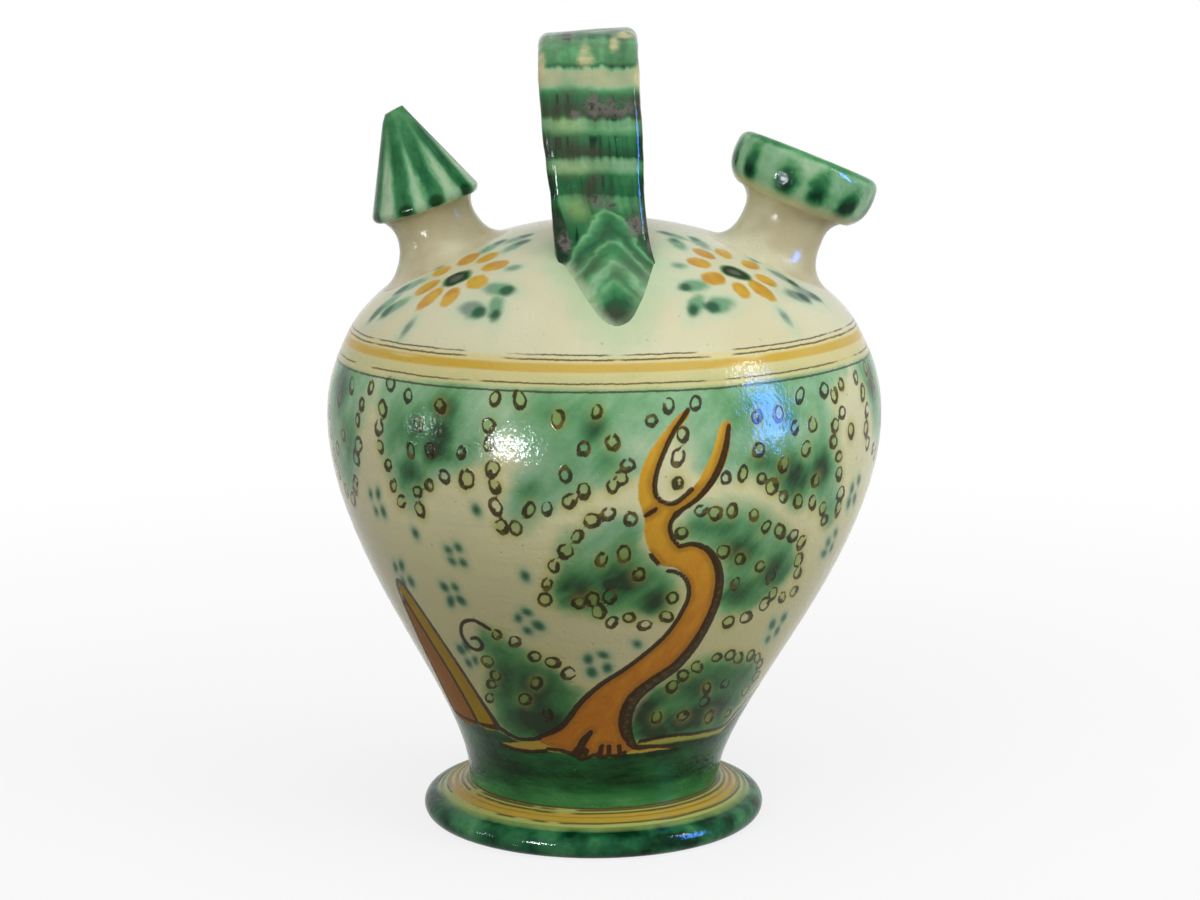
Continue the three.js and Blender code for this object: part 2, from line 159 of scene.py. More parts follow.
CHEVRON_REACH = 42.3
CHEVRON_SLOPES = (0.85, 0.6)  # of their left and right arms


class Wire:
    """A socket of a node tree, so that sums on it are written as plain expressions."""

    def __init__(self, bench, socket):
        self.bench = bench
        self.socket = socket

    def also(self, output):
        """Another output of the same node."""
        return Wire(self.bench, self.socket.node.outputs[output])

    def __add__(self, other):
        return self.bench.maths("ADD", self, other)

    def __sub__(self, other):
        return self.bench.maths("SUBTRACT", self, other)

    def __rsub__(self, other):
        return self.bench.maths("SUBTRACT", other, self)

    def __mul__(self, other):
        return self.bench.maths("MULTIPLY", self, other)

    def __truediv__(self, other):
        return self.bench.maths("DIVIDE", self, other)

    def __neg__(self):
        return self.bench.maths("MULTIPLY", self, -1.0)

    def __abs__(self):
        return self.bench.maths("ABSOLUTE", self)

    __radd__ = __add__
    __rmul__ = __mul__


class Bench:
    """Lays nodes in one tree, for a glaze or for a shape."""

    def __init__(self, tree):
        self.tree = tree

    def node(self, kind, settings=(), sockets=(), out=0):
        """Adds a node: its settings first, then its sockets' values or links."""
        made = self.tree.nodes.new(kind)
        for name, value in dict(settings).items():
            if name == "stops":
                self.set_stops(made.color_ramp, value)
            else:
                setattr(made, name, value)
        for name, value in dict(sockets).items():
            for each in value if isinstance(value, list) else [value]:
                if isinstance(each, Wire):
                    self.tree.links.new(each.socket, made.inputs[name])
                else:
                    made.inputs[name].default_value = each
        return Wire(self, made.outputs[out]) if made.outputs else made

    @staticmethod
    def set_stops(ramp, stops):
        while len(ramp.elements) < len(stops):
            ramp.elements.new(1.0)
        for element, (place, colour) in zip(ramp.elements, stops):
            element.position = place
            element.color = (*colour, 1.0)

    def maths(self, operation, *values):
        return self.node("ShaderNodeMath", {"operation": operation}, dict(enumerate(values)))

    def step(self, value, low, high):
        """0 at low, 1 at high, eased between them."""
        ends = {"Value": value, "From Min": low, "From Max": high, "To Min": 0.0, "To Max": 1.0}
        return self.node("ShaderNodeMapRange", {"interpolation_type": "SMOOTHSTEP"}, ends)

    def band(self, value, centre, half, soft):
        """1 within half of a centre, falling to 0 over soft."""
        return self.step(abs(value - centre), half + soft, half)

    def field(self, name):
        return self.node("ShaderNodeAttribute", {"attribute_name": name}, out="Fac")

    def place(self):
        return self.node("ShaderNodeTexCoord", out="Object")

    def stretched(self, factors, turn=(0.0, 0.0, 0.0)):
        """Object coordinates, scaled and turned, so that a noise runs in streaks."""
        sockets = {"Vector": self.place(), "Rotation": turn, "Scale": factors}
        return self.node("ShaderNodeMapping", {"vector_type": "TEXTURE"}, sockets)

    def noise(self, size, detail=2.0, rough=0.5, vector=None):
        """Noise from about 0.25 to 0.75, with blotches of about this size in millimetres."""
        sockets = {
            "Vector": vector or self.place(),
            "Scale": 1.0 / (size * MM),
            "Detail": detail,
            "Roughness": rough,
        }
        return self.node("ShaderNodeTexNoise", {"noise_dimensions": "3D"}, sockets, "Fac")

    def mix(self, under, over, share, blend="MIX"):
        """Lays one colour over another."""
        settings = {"data_type": "RGBA", "blend_type": blend, "clamp_factor": True}
        colours = [c if isinstance(c, Wire) else (*c, 1.0) for c in (under, over)]
        return self.node("ShaderNodeMix", settings, {0: share, 6: colours[0], 7: colours[1]}, 2)

    def ramp(self, value, stops):
        return self.node("ShaderNodeValToRGB", {"stops": stops}, {"Fac": value}, "Color")

    def tones(self, value, knots):
        """A number that follows knots of (value, tone)."""
        low = knots[0][0]
        high = knots[-1][0]
        stops = [((at - low) / (high - low), (tone, tone, tone)) for at, tone in knots]
        return self.ramp((value - low) / (high - low), stops)

    def seen(self):
        """1 for what the camera, a mirror or glass sees, 0 for the light that a surface gathers."""
        path = self.node("ShaderNodeLightPath", out="Is Camera Ray")
        shown = self.maths("MAXIMUM", path.also("Is Glossy Ray"), path.also("Is Transmission Ray"))
        return self.maths("MAXIMUM", path, shown)


# Curves and outlines


def bezier(points, count=60):
    """Points of a cubic curve, both ends included."""
    share = np.linspace(0, 1, count)[:, None]
    rest = 1 - share
    a, b, c, d = (np.array(p, float) for p in points)
    return a * rest**3 + 3 * b * share * rest**2 + 3 * c * share**2 * rest + d * share**3


def signed(angle):
    """The same angle, from -180 to 180 degrees."""
    return (angle + 180) % 360 - 180


def arc(centre, radius, start, end, count=12):
    angle = np.radians(np.linspace(start, end, count))
    return np.stack((centre[0] + radius * np.cos(angle), centre[1] + radius * np.sin(angle)), 1)


def beside(curve, distance):
    """The same curve moved to the left of its direction."""
    along = np.gradient(curve, axis=0)
    along /= np.linalg.norm(along, axis=1)[:, None]
    return curve + distance * np.stack((-along[:, 1], along[:, 0]), 1)


def smooth_line(points, closed=False, steps=8):
    """A curve through all the points."""
    knots = np.array(points, float)
    if closed:
        knots = np.concatenate((knots[-1:], knots, knots[:2]))
    else:
        knots = np.concatenate((2 * knots[:1] - knots[1:2], knots, 2 * knots[-1:] - knots[-2:-1]))
    share = np.linspace(0, 1, steps, endpoint=False)[:, None]
    runs = []
    for a, b, c, d in zip(knots, knots[1:], knots[2:], knots[3:]):
        bend = 2 * a - 5 * b + 4 * c - d
        swing = 3 * b - a - 3 * c + d
        runs.append(b + 0.5 * share * (c - a + share * (bend + share * swing)))
    if not closed:
        runs.append(knots[-2:-1])
    return np.concatenate(runs)


lower_outline = bezier(
    (
        (WAIST_RADIUS, FOOT_TOP),
        (WAIST_RADIUS, FOOT_TOP + WAIST_RISE),
        (BELLY_RADIUS, BELLY_HEIGHT - BELLY_DROP),
        (BELLY_RADIUS, BELLY_HEIGHT),
    ),
    160,
)
upper_outline = bezier(
    (
        (BELLY_RADIUS, BELLY_HEIGHT),
        (BELLY_RADIUS, BELLY_HEIGHT + BELLY_RISE),
        SHOULDER - SHOULDER_EASE * SHOULDER_UP,
        SHOULDER,
    )
)
dome_outline = bezier(
    (SHOULDER, SHOULDER + DOME_EASE * SHOULDER_UP, (DOME_CROWN, APEX_HEIGHT), (0, APEX_HEIGHT)), 160
)
belly_outline = np.concatenate((lower_outline, upper_outline[1:]))
belly_runs = np.linalg.norm(np.diff(belly_outline, axis=0), axis=1)
belly_lengths = np.concatenate(([0], np.cumsum(belly_runs)))


def belly_radius(height):
    return np.interp(height, belly_outline[:, 1], belly_outline[:, 0])


def belly_length(height):
    """Length along the belly's outline from the foot."""
    return np.interp(height, belly_outline[:, 1], belly_lengths)


def dome_height(radius):
    return np.interp(radius, dome_outline[::-1, 0], dome_outline[::-1, 1])


def seam_point(inwards, upwards):
    return SHOULDER + inwards * SHOULDER_IN + upwards * SHOULDER_UP


# The rebate in which the dome sits on the belly, from the outside in
seam = [
    SHOULDER,
    seam_point(WALL / 2, 0),
    seam_point(WALL / 2, -SEAM_REBATE),
    seam_point(WALL, -SEAM_REBATE),
]


# Shapes that follow a rule


def new_tree(name, inputs, result):
    tree = bpy.data.node_groups.new(name, "GeometryNodeTree")
    for label, kind in inputs:
        tree.interface.new_socket(label, in_out="INPUT", socket_type="NodeSocket" + kind)
    tree.interface.new_socket(result, in_out="OUTPUT", socket_type="NodeSocketGeometry")
    return tree


def finish_shape(bench, shape, glaze):
    """Smooth shading, no instances, one glaze."""
    shape = bench.node("GeometryNodeSetShadeSmooth", {}, {"Geometry": shape})
    shape = bench.node("GeometryNodeRealizeInstances", {}, {"Geometry": shape})
    shape = bench.node("GeometryNodeSetMaterial", {}, {"Geometry": shape, "Material": glaze})
    bench.node("NodeGroupOutput", {}, {0: shape})


def build_thrown_wall():
    """Turns a profile of three runs (underside, outside, inside), with throwing ribs on its outside."""
    rows = ("Underside rows", "Outside rows", "Inside rows")
    inputs = [("Profile", "Geometry"), ("Columns", "Int")]
    inputs += [(name, "Int") for name in rows]
    sizes = ("Rib pitch", "Rib depth", "Wobble", "Lean", "Lean top", "Lean foot")
    inputs += [(name, "Float") for name in sizes]
    inputs += [("Glaze", "Material")]
    tree = new_tree("thrown_wall", inputs, "Wall")
    bench = Bench(tree)
    given = bench.node("NodeGroupInput", out="Profile")
    flat = bench.node("ShaderNodeSeparateXYZ", {}, {0: bench.node("GeometryNodeInputPosition")})
    turn = flat * (2 * math.pi)
    rise = flat.also("Y") + 0.5
    sine = bench.maths("SINE", turn)
    cosine = bench.maths("COSINE", turn)
    walls = []
    for index, name in enumerate(rows):
        counts = {"Vertices X": given.also("Columns") + 1, "Vertices Y": given.also(name)}
        sheet = bench.node("GeometryNodeMeshGrid", {}, {"Size X": 1.0, "Size Y": 1.0, **counts})
        settings = {"mode": "FACTOR", "use_all_curves": False}
        sockets = {"Curves": given, "Factor": rise, "Curve Index": index}
        outline = bench.node("GeometryNodeSampleCurve", settings, sockets, "Position")
        spot = bench.node("ShaderNodeSeparateXYZ", {}, {0: outline})
        radius = spot
        height = spot.also("Z")
        if name == "Outside rows":
            steep = bench.node("ShaderNodeSeparateXYZ", {}, {0: outline.also("Tangent")}, "Z")
            edge = bench.maths("MINIMUM", rise, 1 - rise)
            fade = bench.maths("MINIMUM", edge * 20, 1.0)
            rib = bench.maths("SINE", height / given.also("Rib pitch") * (2 * math.pi) + turn)
            round_about = {0: radius * sine, 1: radius * cosine, 2: height}
            at = bench.node("ShaderNodeCombineXYZ", {}, round_about)
            swells = {"Vector": at, "Scale": 14.0, "Detail": 1.0}
            swell = bench.node("ShaderNodeTexNoise", {}, swells, "Fac")
            push = rib * given.also("Rib depth") + (swell - 0.5) * given.also("Wobble")
            radius = radius + push * steep * fade
        drop = (given.also("Lean top") - height) / (given.also("Lean top") - given.also("Lean foot"))
        drop = bench.maths("MAXIMUM", bench.maths("MINIMUM", drop, 1.0), 0.0)
        aside = radius * sine - given.also("Lean") * drop * drop
        corner = bench.node("ShaderNodeCombineXYZ", {}, {0: aside, 1: -(radius * cosine), 2: height})
        bent = {"Geometry": sheet, "Position": corner}
        walls.append(bench.node("GeometryNodeSetPosition", {}, bent))
    wall = bench.node("GeometryNodeJoinGeometry", {}, {0: walls})
    wall = bench.node("GeometryNodeMergeByDistance", {}, {"Geometry": wall, "Distance": 2e-6})
    finish_shape(bench, wall, given.also("Glaze"))
    return tree


def build_pulled_strap():
    """Draws a flat bar with round edges along a line, with the marks of a wet hand on its face."""
    sizes = ("Width", "Thickness", "Edge", "Crown", "Tilt", "Taper", "Finger marks")
    inputs = [("Line", "Geometry"), ("Steps", "Int")] + [(name, "Float") for name in sizes]
    tree = new_tree("pulled_strap", inputs + [("Glaze", "Material")], "Strap")
    bench = Bench(tree)
    given = bench.node("NodeGroupInput", out="Line")
    share = bench.node("GeometryNodeSplineParameter", out="Factor")
    line = bench.node("GeometryNodeResampleCurve", {}, {"Curve": given, "Count": given.also("Steps")})
    arch = bench.maths("SINE", share * math.pi)
    tilt = arch * arch * given.also("Tilt")
    width_way = bench.node("ShaderNodeCombineXYZ", {}, {0: 1.0, 1: 0.0, 2: tilt})
    facing = {"Curve": line, "Normal": width_way}
    line = bench.node("GeometryNodeSetCurveNormal", {"mode": "FREE"}, facing)
    size = {"Width": given.also("Width"), "Height": given.also("Thickness")}
    section = bench.node("GeometryNodeCurvePrimitiveQuadrilateral", {}, size)
    rounding = {"Curve": section, "Count": 6, "Radius": given.also("Edge"), "Limit Radius": True}
    section = bench.node("GeometryNodeFilletCurve", {"mode": "POLY"}, rounding)
    section = bench.node("GeometryNodeResampleCurve", {}, {"Curve": section, "Count": 96})
    place = bench.node("GeometryNodeInputPosition")
    across = bench.node("ShaderNodeSeparateXYZ", {}, {0: place})
    side = across * 2 / given.also("Width")
    belly = (1 - side * side) * given.also("Crown")
    outwards = bench.maths("SIGN", across.also("Y"))
    bulge = bench.node("ShaderNodeCombineXYZ", {}, {1: belly * outwards})
    section = bench.node("GeometryNodeSetPosition", {}, {"Geometry": section, "Offset": bulge})
    low = 1 - arch
    scale = 1 - low * low * given.also("Taper")
    sweep = {"Curve": line, "Profile Curve": section, "Scale": scale, "Fill Caps": True}
    strap = bench.node("GeometryNodeCurveToMesh", {}, sweep)
    dents = {"Vector": place, "Scale": 95.0, "Detail": 1.0}
    lumps = bench.node("ShaderNodeTexNoise", {}, dents, "Fac")
    skin = bench.node("GeometryNodeInputNormal")
    depth = (lumps - 0.5) * given.also("Finger marks")
    marks = bench.node("ShaderNodeVectorMath", {"operation": "SCALE"}, {0: skin, "Scale": depth})
    strap = bench.node("GeometryNodeSetPosition", {}, {"Geometry": strap, "Offset": marks})
    finish_shape(bench, strap, given.also("Glaze"))
    return tree


def line_object(name, runs):
    """A curve object of straight runs through points given in millimetres."""
    data = bpy.data.curves.new(name, "CURVE")
    data.dimensions = "3D"
    for run in runs:
        spline = data.splines.new("POLY")
        spline.points.add(len(run) - 1)
        spline.points.foreach_set("co", np.c_[np.array(run) * MM, np.ones(len(run))].ravel())
    return bpy.data.objects.new(name, data)


def shaped(name, runs, tree, sizes, glaze):
    """The plain mesh that a tree of nodes makes from a drawn line."""
    drawn = line_object(name, runs)
    bpy.context.scene.collection.objects.link(drawn)
    modifier = drawn.modifiers.new(tree.name, "NODES")
    modifier.node_group = tree
    sockets = {item.name: item.identifier for item in tree.interface.items_tree}
    for label, value in {**sizes, "Glaze": glaze}.items():
        modifier[sockets[label]] = value
    graph = bpy.context.evaluated_depsgraph_get()
    mesh = bpy.data.meshes.new_from_object(drawn.evaluated_get(graph))
    bpy.data.objects.remove(drawn)
    return place_mesh(name, mesh, glaze)


def place_mesh(name, mesh, glaze, sharp=SHARP):
    mesh.name = name
    mesh.materials.clear()
    mesh.materials.append(glaze)
    mesh.polygons.foreach_set("material_index", np.zeros(len(mesh.polygons), np.int32))
    mesh.shade_smooth()
    mesh.set_sharp_from_angle(angle=math.radians(sharp))
    piece = bpy.data.objects.new(name, mesh)
    bpy.context.scene.collection.objects.link(piece)
    return piece


thrown_wall = build_thrown_wall()
pulled_strap = build_pulled_strap()


def throw(name, underside, outside, inside, rows, columns, glaze, **clay):
    """A piece thrown on the wheel: its profile in radius and height, from underside to inside."""
    profile = [np.array(run) for run in (underside, outside, inside)]
    runs = [np.c_[run[:, 0], np.zeros(len(run)), run[:, 1]] for run in profile]
    sizes = {"Columns": columns, "Rib pitch": RIB_PITCH * MM, "Rib depth": 0.0, "Wobble": 0.0}
    sizes.update({"Lean": 0.0, "Lean top": BELLY_HEIGHT * MM, "Lean foot": FOOT_TOP * MM})
    sizes.update(zip(("Underside rows", "Outside rows", "Inside rows"), rows))
    sizes.update({label.replace("_", " ").capitalize(): value * MM for label, value in clay.items()})
    return shaped(name, runs, thrown_wall, sizes, glaze)


def grid_piece(name, loops, glaze, closed_rows, sharp=SHARP):
    """A closed skin over rows of points, each a closed loop. The end rows are joined or capped."""
    rows, columns = loops.shape[:2]
    at = np.arange(rows * columns).reshape(rows, columns)
    beyond = np.roll(at, -1, axis=1)
    last = rows if closed_rows else rows - 1
    faces = []
    for row in range(last):
        above = (row + 1) % rows
        faces += np.stack((at[row], beyond[row], beyond[above], at[above]), 1).tolist()
    if not closed_rows:
        faces.append(at[0, ::-1].tolist())
        faces.append(at[-1].tolist())
    mesh = bpy.data.meshes.new(name)
    mesh.from_pydata((loops.reshape(-1, 3) * MM).tolist(), [], faces)
    shell = bmesh.new()
    shell.from_mesh(mesh)
    bmesh.ops.recalc_face_normals(shell, faces=shell.faces)
    shell.to_mesh(mesh)
    shell.free()
    return place_mesh(name, mesh, glaze, sharp)


def points_of(piece):
    """The piece's points, in millimetres."""
    mesh = piece.data
    flat = np.empty(len(mesh.vertices) * 3, np.float32)
    mesh.vertices.foreach_get("co", flat)
    return flat.reshape(-1, 3).astype(float) / MM


def move_points(piece, points):
    """Puts a piece's points elsewhere, given in millimetres."""
    piece.data.vertices.foreach_set("co", (points * MM).astype(np.float32).ravel())
    piece.data.update()


def set_field(piece, name, values):
    """Keeps one number for each point of a piece, for its glaze to read."""
    field = piece.data.attributes.get(name) or piece.data.attributes.new(name, "FLOAT", "POINT")
    field.data.foreach_set("value", np.asarray(values, np.float32))


def soft_spots(across, height, spots):
    """Soft spots of (place across, height, half width, half height): 1 at the middle of each."""
    field = np.zeros(len(across))
    for at, up, wide, tall in spots:
        away = ((across - at) / wide) ** 2 + ((height - up) / tall) ** 2
        field = np.maximum(field, np.exp(-away))
    return field


# Brushwork: distances on the surface, in millimetres, that the glazes turn into paint

MARK_REACH = 12  # how far from a mark its distances are worked out
FINEST_LINE = 1.7


def unrolled(angle, height, centre):
    """Millimetres to the right of a meridian, and up along the outline."""
    turn = signed(np.asarray(angle) - centre)
    return np.radians(turn) * belly_radius(height), belly_length(height)


def to_segments(x, y, line):
    """Distance from each point to a line of (x, y) points, less half the line's width if it has one."""
    best = np.full(len(x), FAR)
    for a, b in zip(line, line[1:]):
        run = b[:2] - a[:2]
        share = ((x - a[0]) * run[0] + (y - a[1]) * run[1]) / max(run @ run, 1e-9)
        share = np.clip(share, 0, 1)
        away = np.hypot(x - a[0] - share * run[0], y - a[1] - share * run[1])
        if len(a) > 2:
            away -= (a[2] + share * (b[2] - a[2])) / 2
        best = np.minimum(best, away)
    return best


def inside_of(x, y, outline):
    """Distance to a closed outline, positive inside it."""
    ring = np.concatenate((outline, outline[:1]))
    within = np.zeros(len(x), bool)
    for a, b in zip(ring, ring[1:]):
        if a[1] == b[1]:
            continue
        crosses = (a[1] > y) != (b[1] > y)
        within ^= crosses & (x < a[0] + (y - a[1]) * (b[0] - a[0]) / (b[1] - a[1]))
    return np.where(within, 1, -1) * to_segments(x, y, ring)


class Brush:
    """Paints the unrolled belly. A motif is drawn in degrees from its own middle and in heights."""

    def __init__(self, angle, height):
        self.angle = angle
        self.height = height
        self.middle = 0.0
        self.side = 1.0
        self.random = np.random.default_rng(SEED)

    def face(self, middle, side):
        """Turns the pot: motifs are then drawn about this angle, mirrored if side is -1."""
        self.middle = middle
        self.side = side

    def flat(self, points):
        """A motif's points (angle, height and anything more), unrolled about the middle."""
        drawn = np.array(points, float)
        x, y = unrolled(drawn[:, 0], drawn[:, 1], 0.0)
        return np.c_[x, y, drawn[:, 2:]]

    def near(self, flat, margin=FAR / 2):
        """Which points of the pot lie near a flattened motif, and where they are."""
        x, y = unrolled(self.angle, self.height, self.middle)
        x = x * self.side
        low = flat[:, :2].min(0) - margin
        high = flat[:, :2].max(0) + margin
        chosen = np.flatnonzero((x > low[0]) & (x < high[0]) & (y > low[1]) & (y < high[1]))
        return chosen, x[chosen], y[chosen]

    def area(self, field, outline):
        """Adds a closed shape to a field of distances that are positive inside."""
        flat = self.flat(smooth_line(outline, closed=True, steps=5))
        chosen, x, y = self.near(flat)
        field[chosen] = np.maximum(field[chosen], inside_of(x, y, flat))

    def stroke(self, field, line):
        """Adds a brush line of (angle, height, width) points to a field that is negative inside."""
        flat = self.flat(smooth_line(line, steps=6))
        flat[:, 2] = np.maximum(flat[:, 2], FINEST_LINE)
        chosen, x, y = self.near(flat, MARK_REACH)
        field[chosen] = np.minimum(field[chosen], to_segments(x, y, flat))

    def blot(self, field, angle, height, wide, tall, strength=1.0):
        """Adds a soft spot, strongest at its middle."""
        flat = self.flat([(angle, height)])
        chosen, x, y = self.near(flat, 2.5 * max(wide, tall))
        away = ((x - flat[0, 0]) / wide) ** 2 + ((y - flat[0, 1]) / tall) ** 2
        field[chosen] = np.maximum(field[chosen], strength * np.exp(-away))

    def dab(self, field, angle, height, radius, lean=0.45):
        """Adds a leaning oval dab to a field of distances that are negative inside."""
        flat = self.flat([(angle, height)])
        chosen, x, y = self.near(flat, MARK_REACH)
        u = (x - flat[0, 0]) * math.cos(lean) + (y - flat[0, 1]) * math.sin(lean)
        v = (y - flat[0, 1]) * math.cos(lean) - (x - flat[0, 0]) * math.sin(lean)
        away = np.hypot(u / 0.84, v / 1.22) - radius
        field[chosen] = np.minimum(field[chosen], away)

    def leaf_ring(self, fields, angle, height, size=1.0):
        """Adds one leaf: a small loop of a fine brush, heavier on one side and often left open."""
        draw = self.random.uniform
        radius = draw(2.45, 3.2) * size
        stroke = draw(1.0, 1.4)
        heavy = draw(0.1, 0.6) * stroke
        way = draw(-2.9, 0.3)
        stretch = draw(0.98, 1.24)
        lean = draw(-0.5, 0.5)
        stained = draw() < 0.7
        hooked = draw() < 0.6
        opening = draw(0.2, 2.9) if draw() < 0.4 else None
        flat = self.flat([(angle, height)])
        chosen, x, y = self.near(flat, MARK_REACH)
        dx = x - flat[0, 0]
        dy = y - flat[0, 1]
        u = (dx * math.cos(lean) + dy * math.sin(lean)) * stretch
        v = (dy * math.cos(lean) - dx * math.sin(lean)) / stretch
        away = np.hypot(u, v) - radius
        hole = np.hypot(u + heavy * math.cos(way), v + heavy * math.sin(way)) - radius + stroke
        if hooked:
            hook = 0.5 * radius
            dot = np.hypot(u - hook * math.cos(way), v - hook * math.sin(way)) - 0.31 * radius
            hole = np.maximum(hole, -dot)
        if opening is not None:
            nick = np.hypot(u - radius * math.cos(opening), v - radius * math.sin(opening)) - 0.85
            hole = np.minimum(hole, nick)
        fields["ring"][chosen] = np.minimum(fields["ring"][chosen], away)
        fields["hole"][chosen] = np.minimum(fields["hole"][chosen], hole)
        if stained:
            fields["stain"][chosen] = np.minimum(fields["stain"][chosen], away)

    def leaf_row(self, fields, line, spacing=6.9):
        """Leaves in a row along a line."""
        drawn = smooth_line(line, steps=16)
        rise = np.diff(belly_length(drawn[:, 1]))
        mid = np.radians(np.diff(drawn[:, 0])) * belly_radius((drawn[1:, 1] + drawn[:-1, 1]) / 2)
        along = np.concatenate(([0], np.cumsum(np.hypot(mid, rise))))
        reach = 0.0
        while reach <= along[-1]:
            angle = np.interp(reach, along, drawn[:, 0]) + self.random.normal(0, 0.45)
            height = np.interp(reach, along, drawn[:, 1]) + self.random.normal(0, 0.6)
            self.leaf_ring(fields, angle, height)
            reach += spacing * self.random.uniform(0.88, 1.22)

    def dab_cluster(self, field, angle, height):
        """Four dabs set in a tilted lozenge."""
        turn = self.random.uniform(0.2, 0.7)
        for quarter in range(4):
            way = quarter * math.pi / 2 - turn
            aside = 3.6 * math.cos(way) + self.random.normal(0, 0.4)
            up = 4.1 * math.sin(way) + self.random.normal(0, 0.4)
            off = math.degrees(aside / belly_radius(height))
            radius = self.random.uniform(1.4, 2.2)
            lean = self.random.uniform(-0.2, 1.0)
            self.dab(field, angle + off, height + up, radius, lean)


# The landscape on the belly: crowns of leaves (outline of the wash, rows of leaves, single leaves)
CROWNS = (
    (
        [
            (-51, 176), (-50, 158), (-49, 147), (-46, 137), (-42, 129), (-38, 137), (-33, 142),
            (-28, 145), (-24, 150), (-20, 157), (-18, 166), (-17, 176),
        ],
        [
            [
                (-49, 169), (-50, 159), (-50, 150), (-48, 141), (-46, 132), (-41, 127), (-40, 135),
                (-35, 140), (-31.5, 141.5),
            ],
            [(-28.5, 151), (-29, 158)],
        ],
        [(-43, 167), (-34, 165), (-39, 158), (-41, 149), (-36, 150), (-27.6, 141.5, 1.4)],
    ),
    (
        [
            (-21, 176), (-19, 160), (-16, 150), (-17, 141), (-19, 133), (-18, 126), (-13, 131),
            (-9, 136), (-4, 140), (1, 143), (7, 146), (9, 154), (13, 158.5), (16, 153), (19, 146.5),
            (25, 148), (25, 176),
        ],
        [
            [
                (-23, 160), (-22, 152), (-21.5, 144), (-22, 131), (-19, 123.5), (-15, 131), (-9, 134),
                (-3, 140), (4, 143), (5, 153),
            ],
        ],
        [(-22, 169), (-17, 169), (-9, 163.5), (-1.5, 166), (1.5, 156), (-4, 154), (-7.5, 145)],
    ),
    (
        [
            (10, 176), (14, 165), (18, 160), (21, 150), (23, 144), (29, 144), (34, 139), (38, 134),
            (42, 129), (46, 131), (50, 127), (55, 119), (57, 126), (55, 134), (53, 142), (52, 150),
            (53, 158), (51, 165), (61, 176),
        ],
        [
            [
                (24, 143.5), (30, 143), (36.5, 135), (41, 131), (46, 130), (50, 126), (55, 120),
                (57.5, 127), (55, 136), (53, 145), (51, 153), (55, 158), (54, 164), (49, 169),
            ],
        ],
        [
            (12.5, 167.5), (18, 168), (9, 163), (15, 158), (14, 150.5), (14, 142), (43, 149),
            (40, 157), (45, 157), (42.5, 167), (57, 168), (58.5, 151.5), (46.5, 137), (37, 145),
            (31, 151), (36, 162), (31, 162),
        ],
    ),
    (
        [
            (-8, 122), (-9, 112), (-11, 104), (-10, 97), (-6, 95), (0, 94), (7, 94), (13, 93),
            (16, 99), (16, 106), (13, 110), (9, 114), (7, 120), (7, 128), (2, 130), (-4, 126),
        ],
        [
            [
                (5.5, 131.5), (-1, 131), (-5, 126), (-8, 118.5), (-10.5, 110), (-12.5, 103.5),
                (-12, 94.5),
            ],
            [(-5.5, 99), (-2, 96), (2, 90.5), (7.5, 92.5), (12, 89), (16, 95.5), (15.5, 104)],
        ],
        [(-0.5, 115), (4, 117), (7.5, 109.5), (1.5, 101), (-2.5, 100)],
    ),
    (
        [
            (15, 122), (17, 131), (24, 133), (31, 131), (36, 126), (41, 120), (45, 113), (47, 106),
            (44, 99), (38, 93), (31, 92), (28, 96), (28, 106), (25, 115), (19, 121),
        ],
        [
            [
                (19, 131.5), (24.5, 131), (30, 129.5), (35, 124), (42, 119), (46.5, 113), (49.5, 104),
                (53, 95),
            ],
            [(48, 93), (42.5, 96.5), (40, 89.5), (34.5, 88), (30, 89.5)],
        ],
        [(30, 112.5), (25.5, 116), (36, 108.5), (40.5, 103.5), (30.5, 103), (15.5, 124)],
    ),
    (
        [
            (-37, 43), (-38, 52), (-36, 62), (-33, 70), (-34, 80), (-31, 85), (-27, 83), (-21, 79),
            (-15, 73), (-10, 66), (-6, 60), (-9, 52), (-15, 45), (-22, 41), (-30, 40),
        ],
        [
            [(-28, 84.5), (-23.5, 81.5), (-18, 77.5), (-13, 74.5), (-7.5, 66)],
            [(-33, 72), (-31.5, 66), (-36, 61), (-38.5, 52)],
        ],
        [(-19, 65), (-24, 57.5), (-17, 52)],
    ),
    (
        [
            (11, 42), (11, 52), (15, 60), (20, 65), (25, 70), (33, 73.5), (41, 71.5), (49, 69),
            (56, 64), (62, 56), (60, 46), (52, 40), (40, 40), (25, 40.5),
        ],
        [
            [
                (21.5, 62), (26, 69.5), (34, 74), (41, 71.5), (46.5, 70), (53, 67.5), (61, 58),
                (56, 50), (54, 45.5),
            ],
        ],
        [(35, 60.5), (42.5, 60.5), (20, 50.5), (30, 50), (37, 54.5), (43, 47)],
    ),
    (
        [
            (-54, 176), (-56, 162), (-58, 150), (-60, 140), (-66, 128), (-72, 134), (-76, 150),
            (-80, 176),
        ],
        [
            [
                (-56, 168), (-59, 155), (-59, 144), (-62, 134), (-66, 125), (-72, 130), (-76, 142),
                (-79, 160),
            ],
        ],
        [(-64, 166), (-70, 160), (-66, 148), (-71, 142)],
    ),
)
SIDE_CROWN = (
    [(66, 176), (69, 163), (72, 150), (78, 141), (86, 139), (93, 150), (98, 176)],
    [[(64, 168), (67, 158), (66, 147), (71, 142), (78, 137), (87, 137), (94, 147), (97, 160)]],
    [(76, 164), (84, 158), (80, 150), (90, 166), (72, 170)],
)
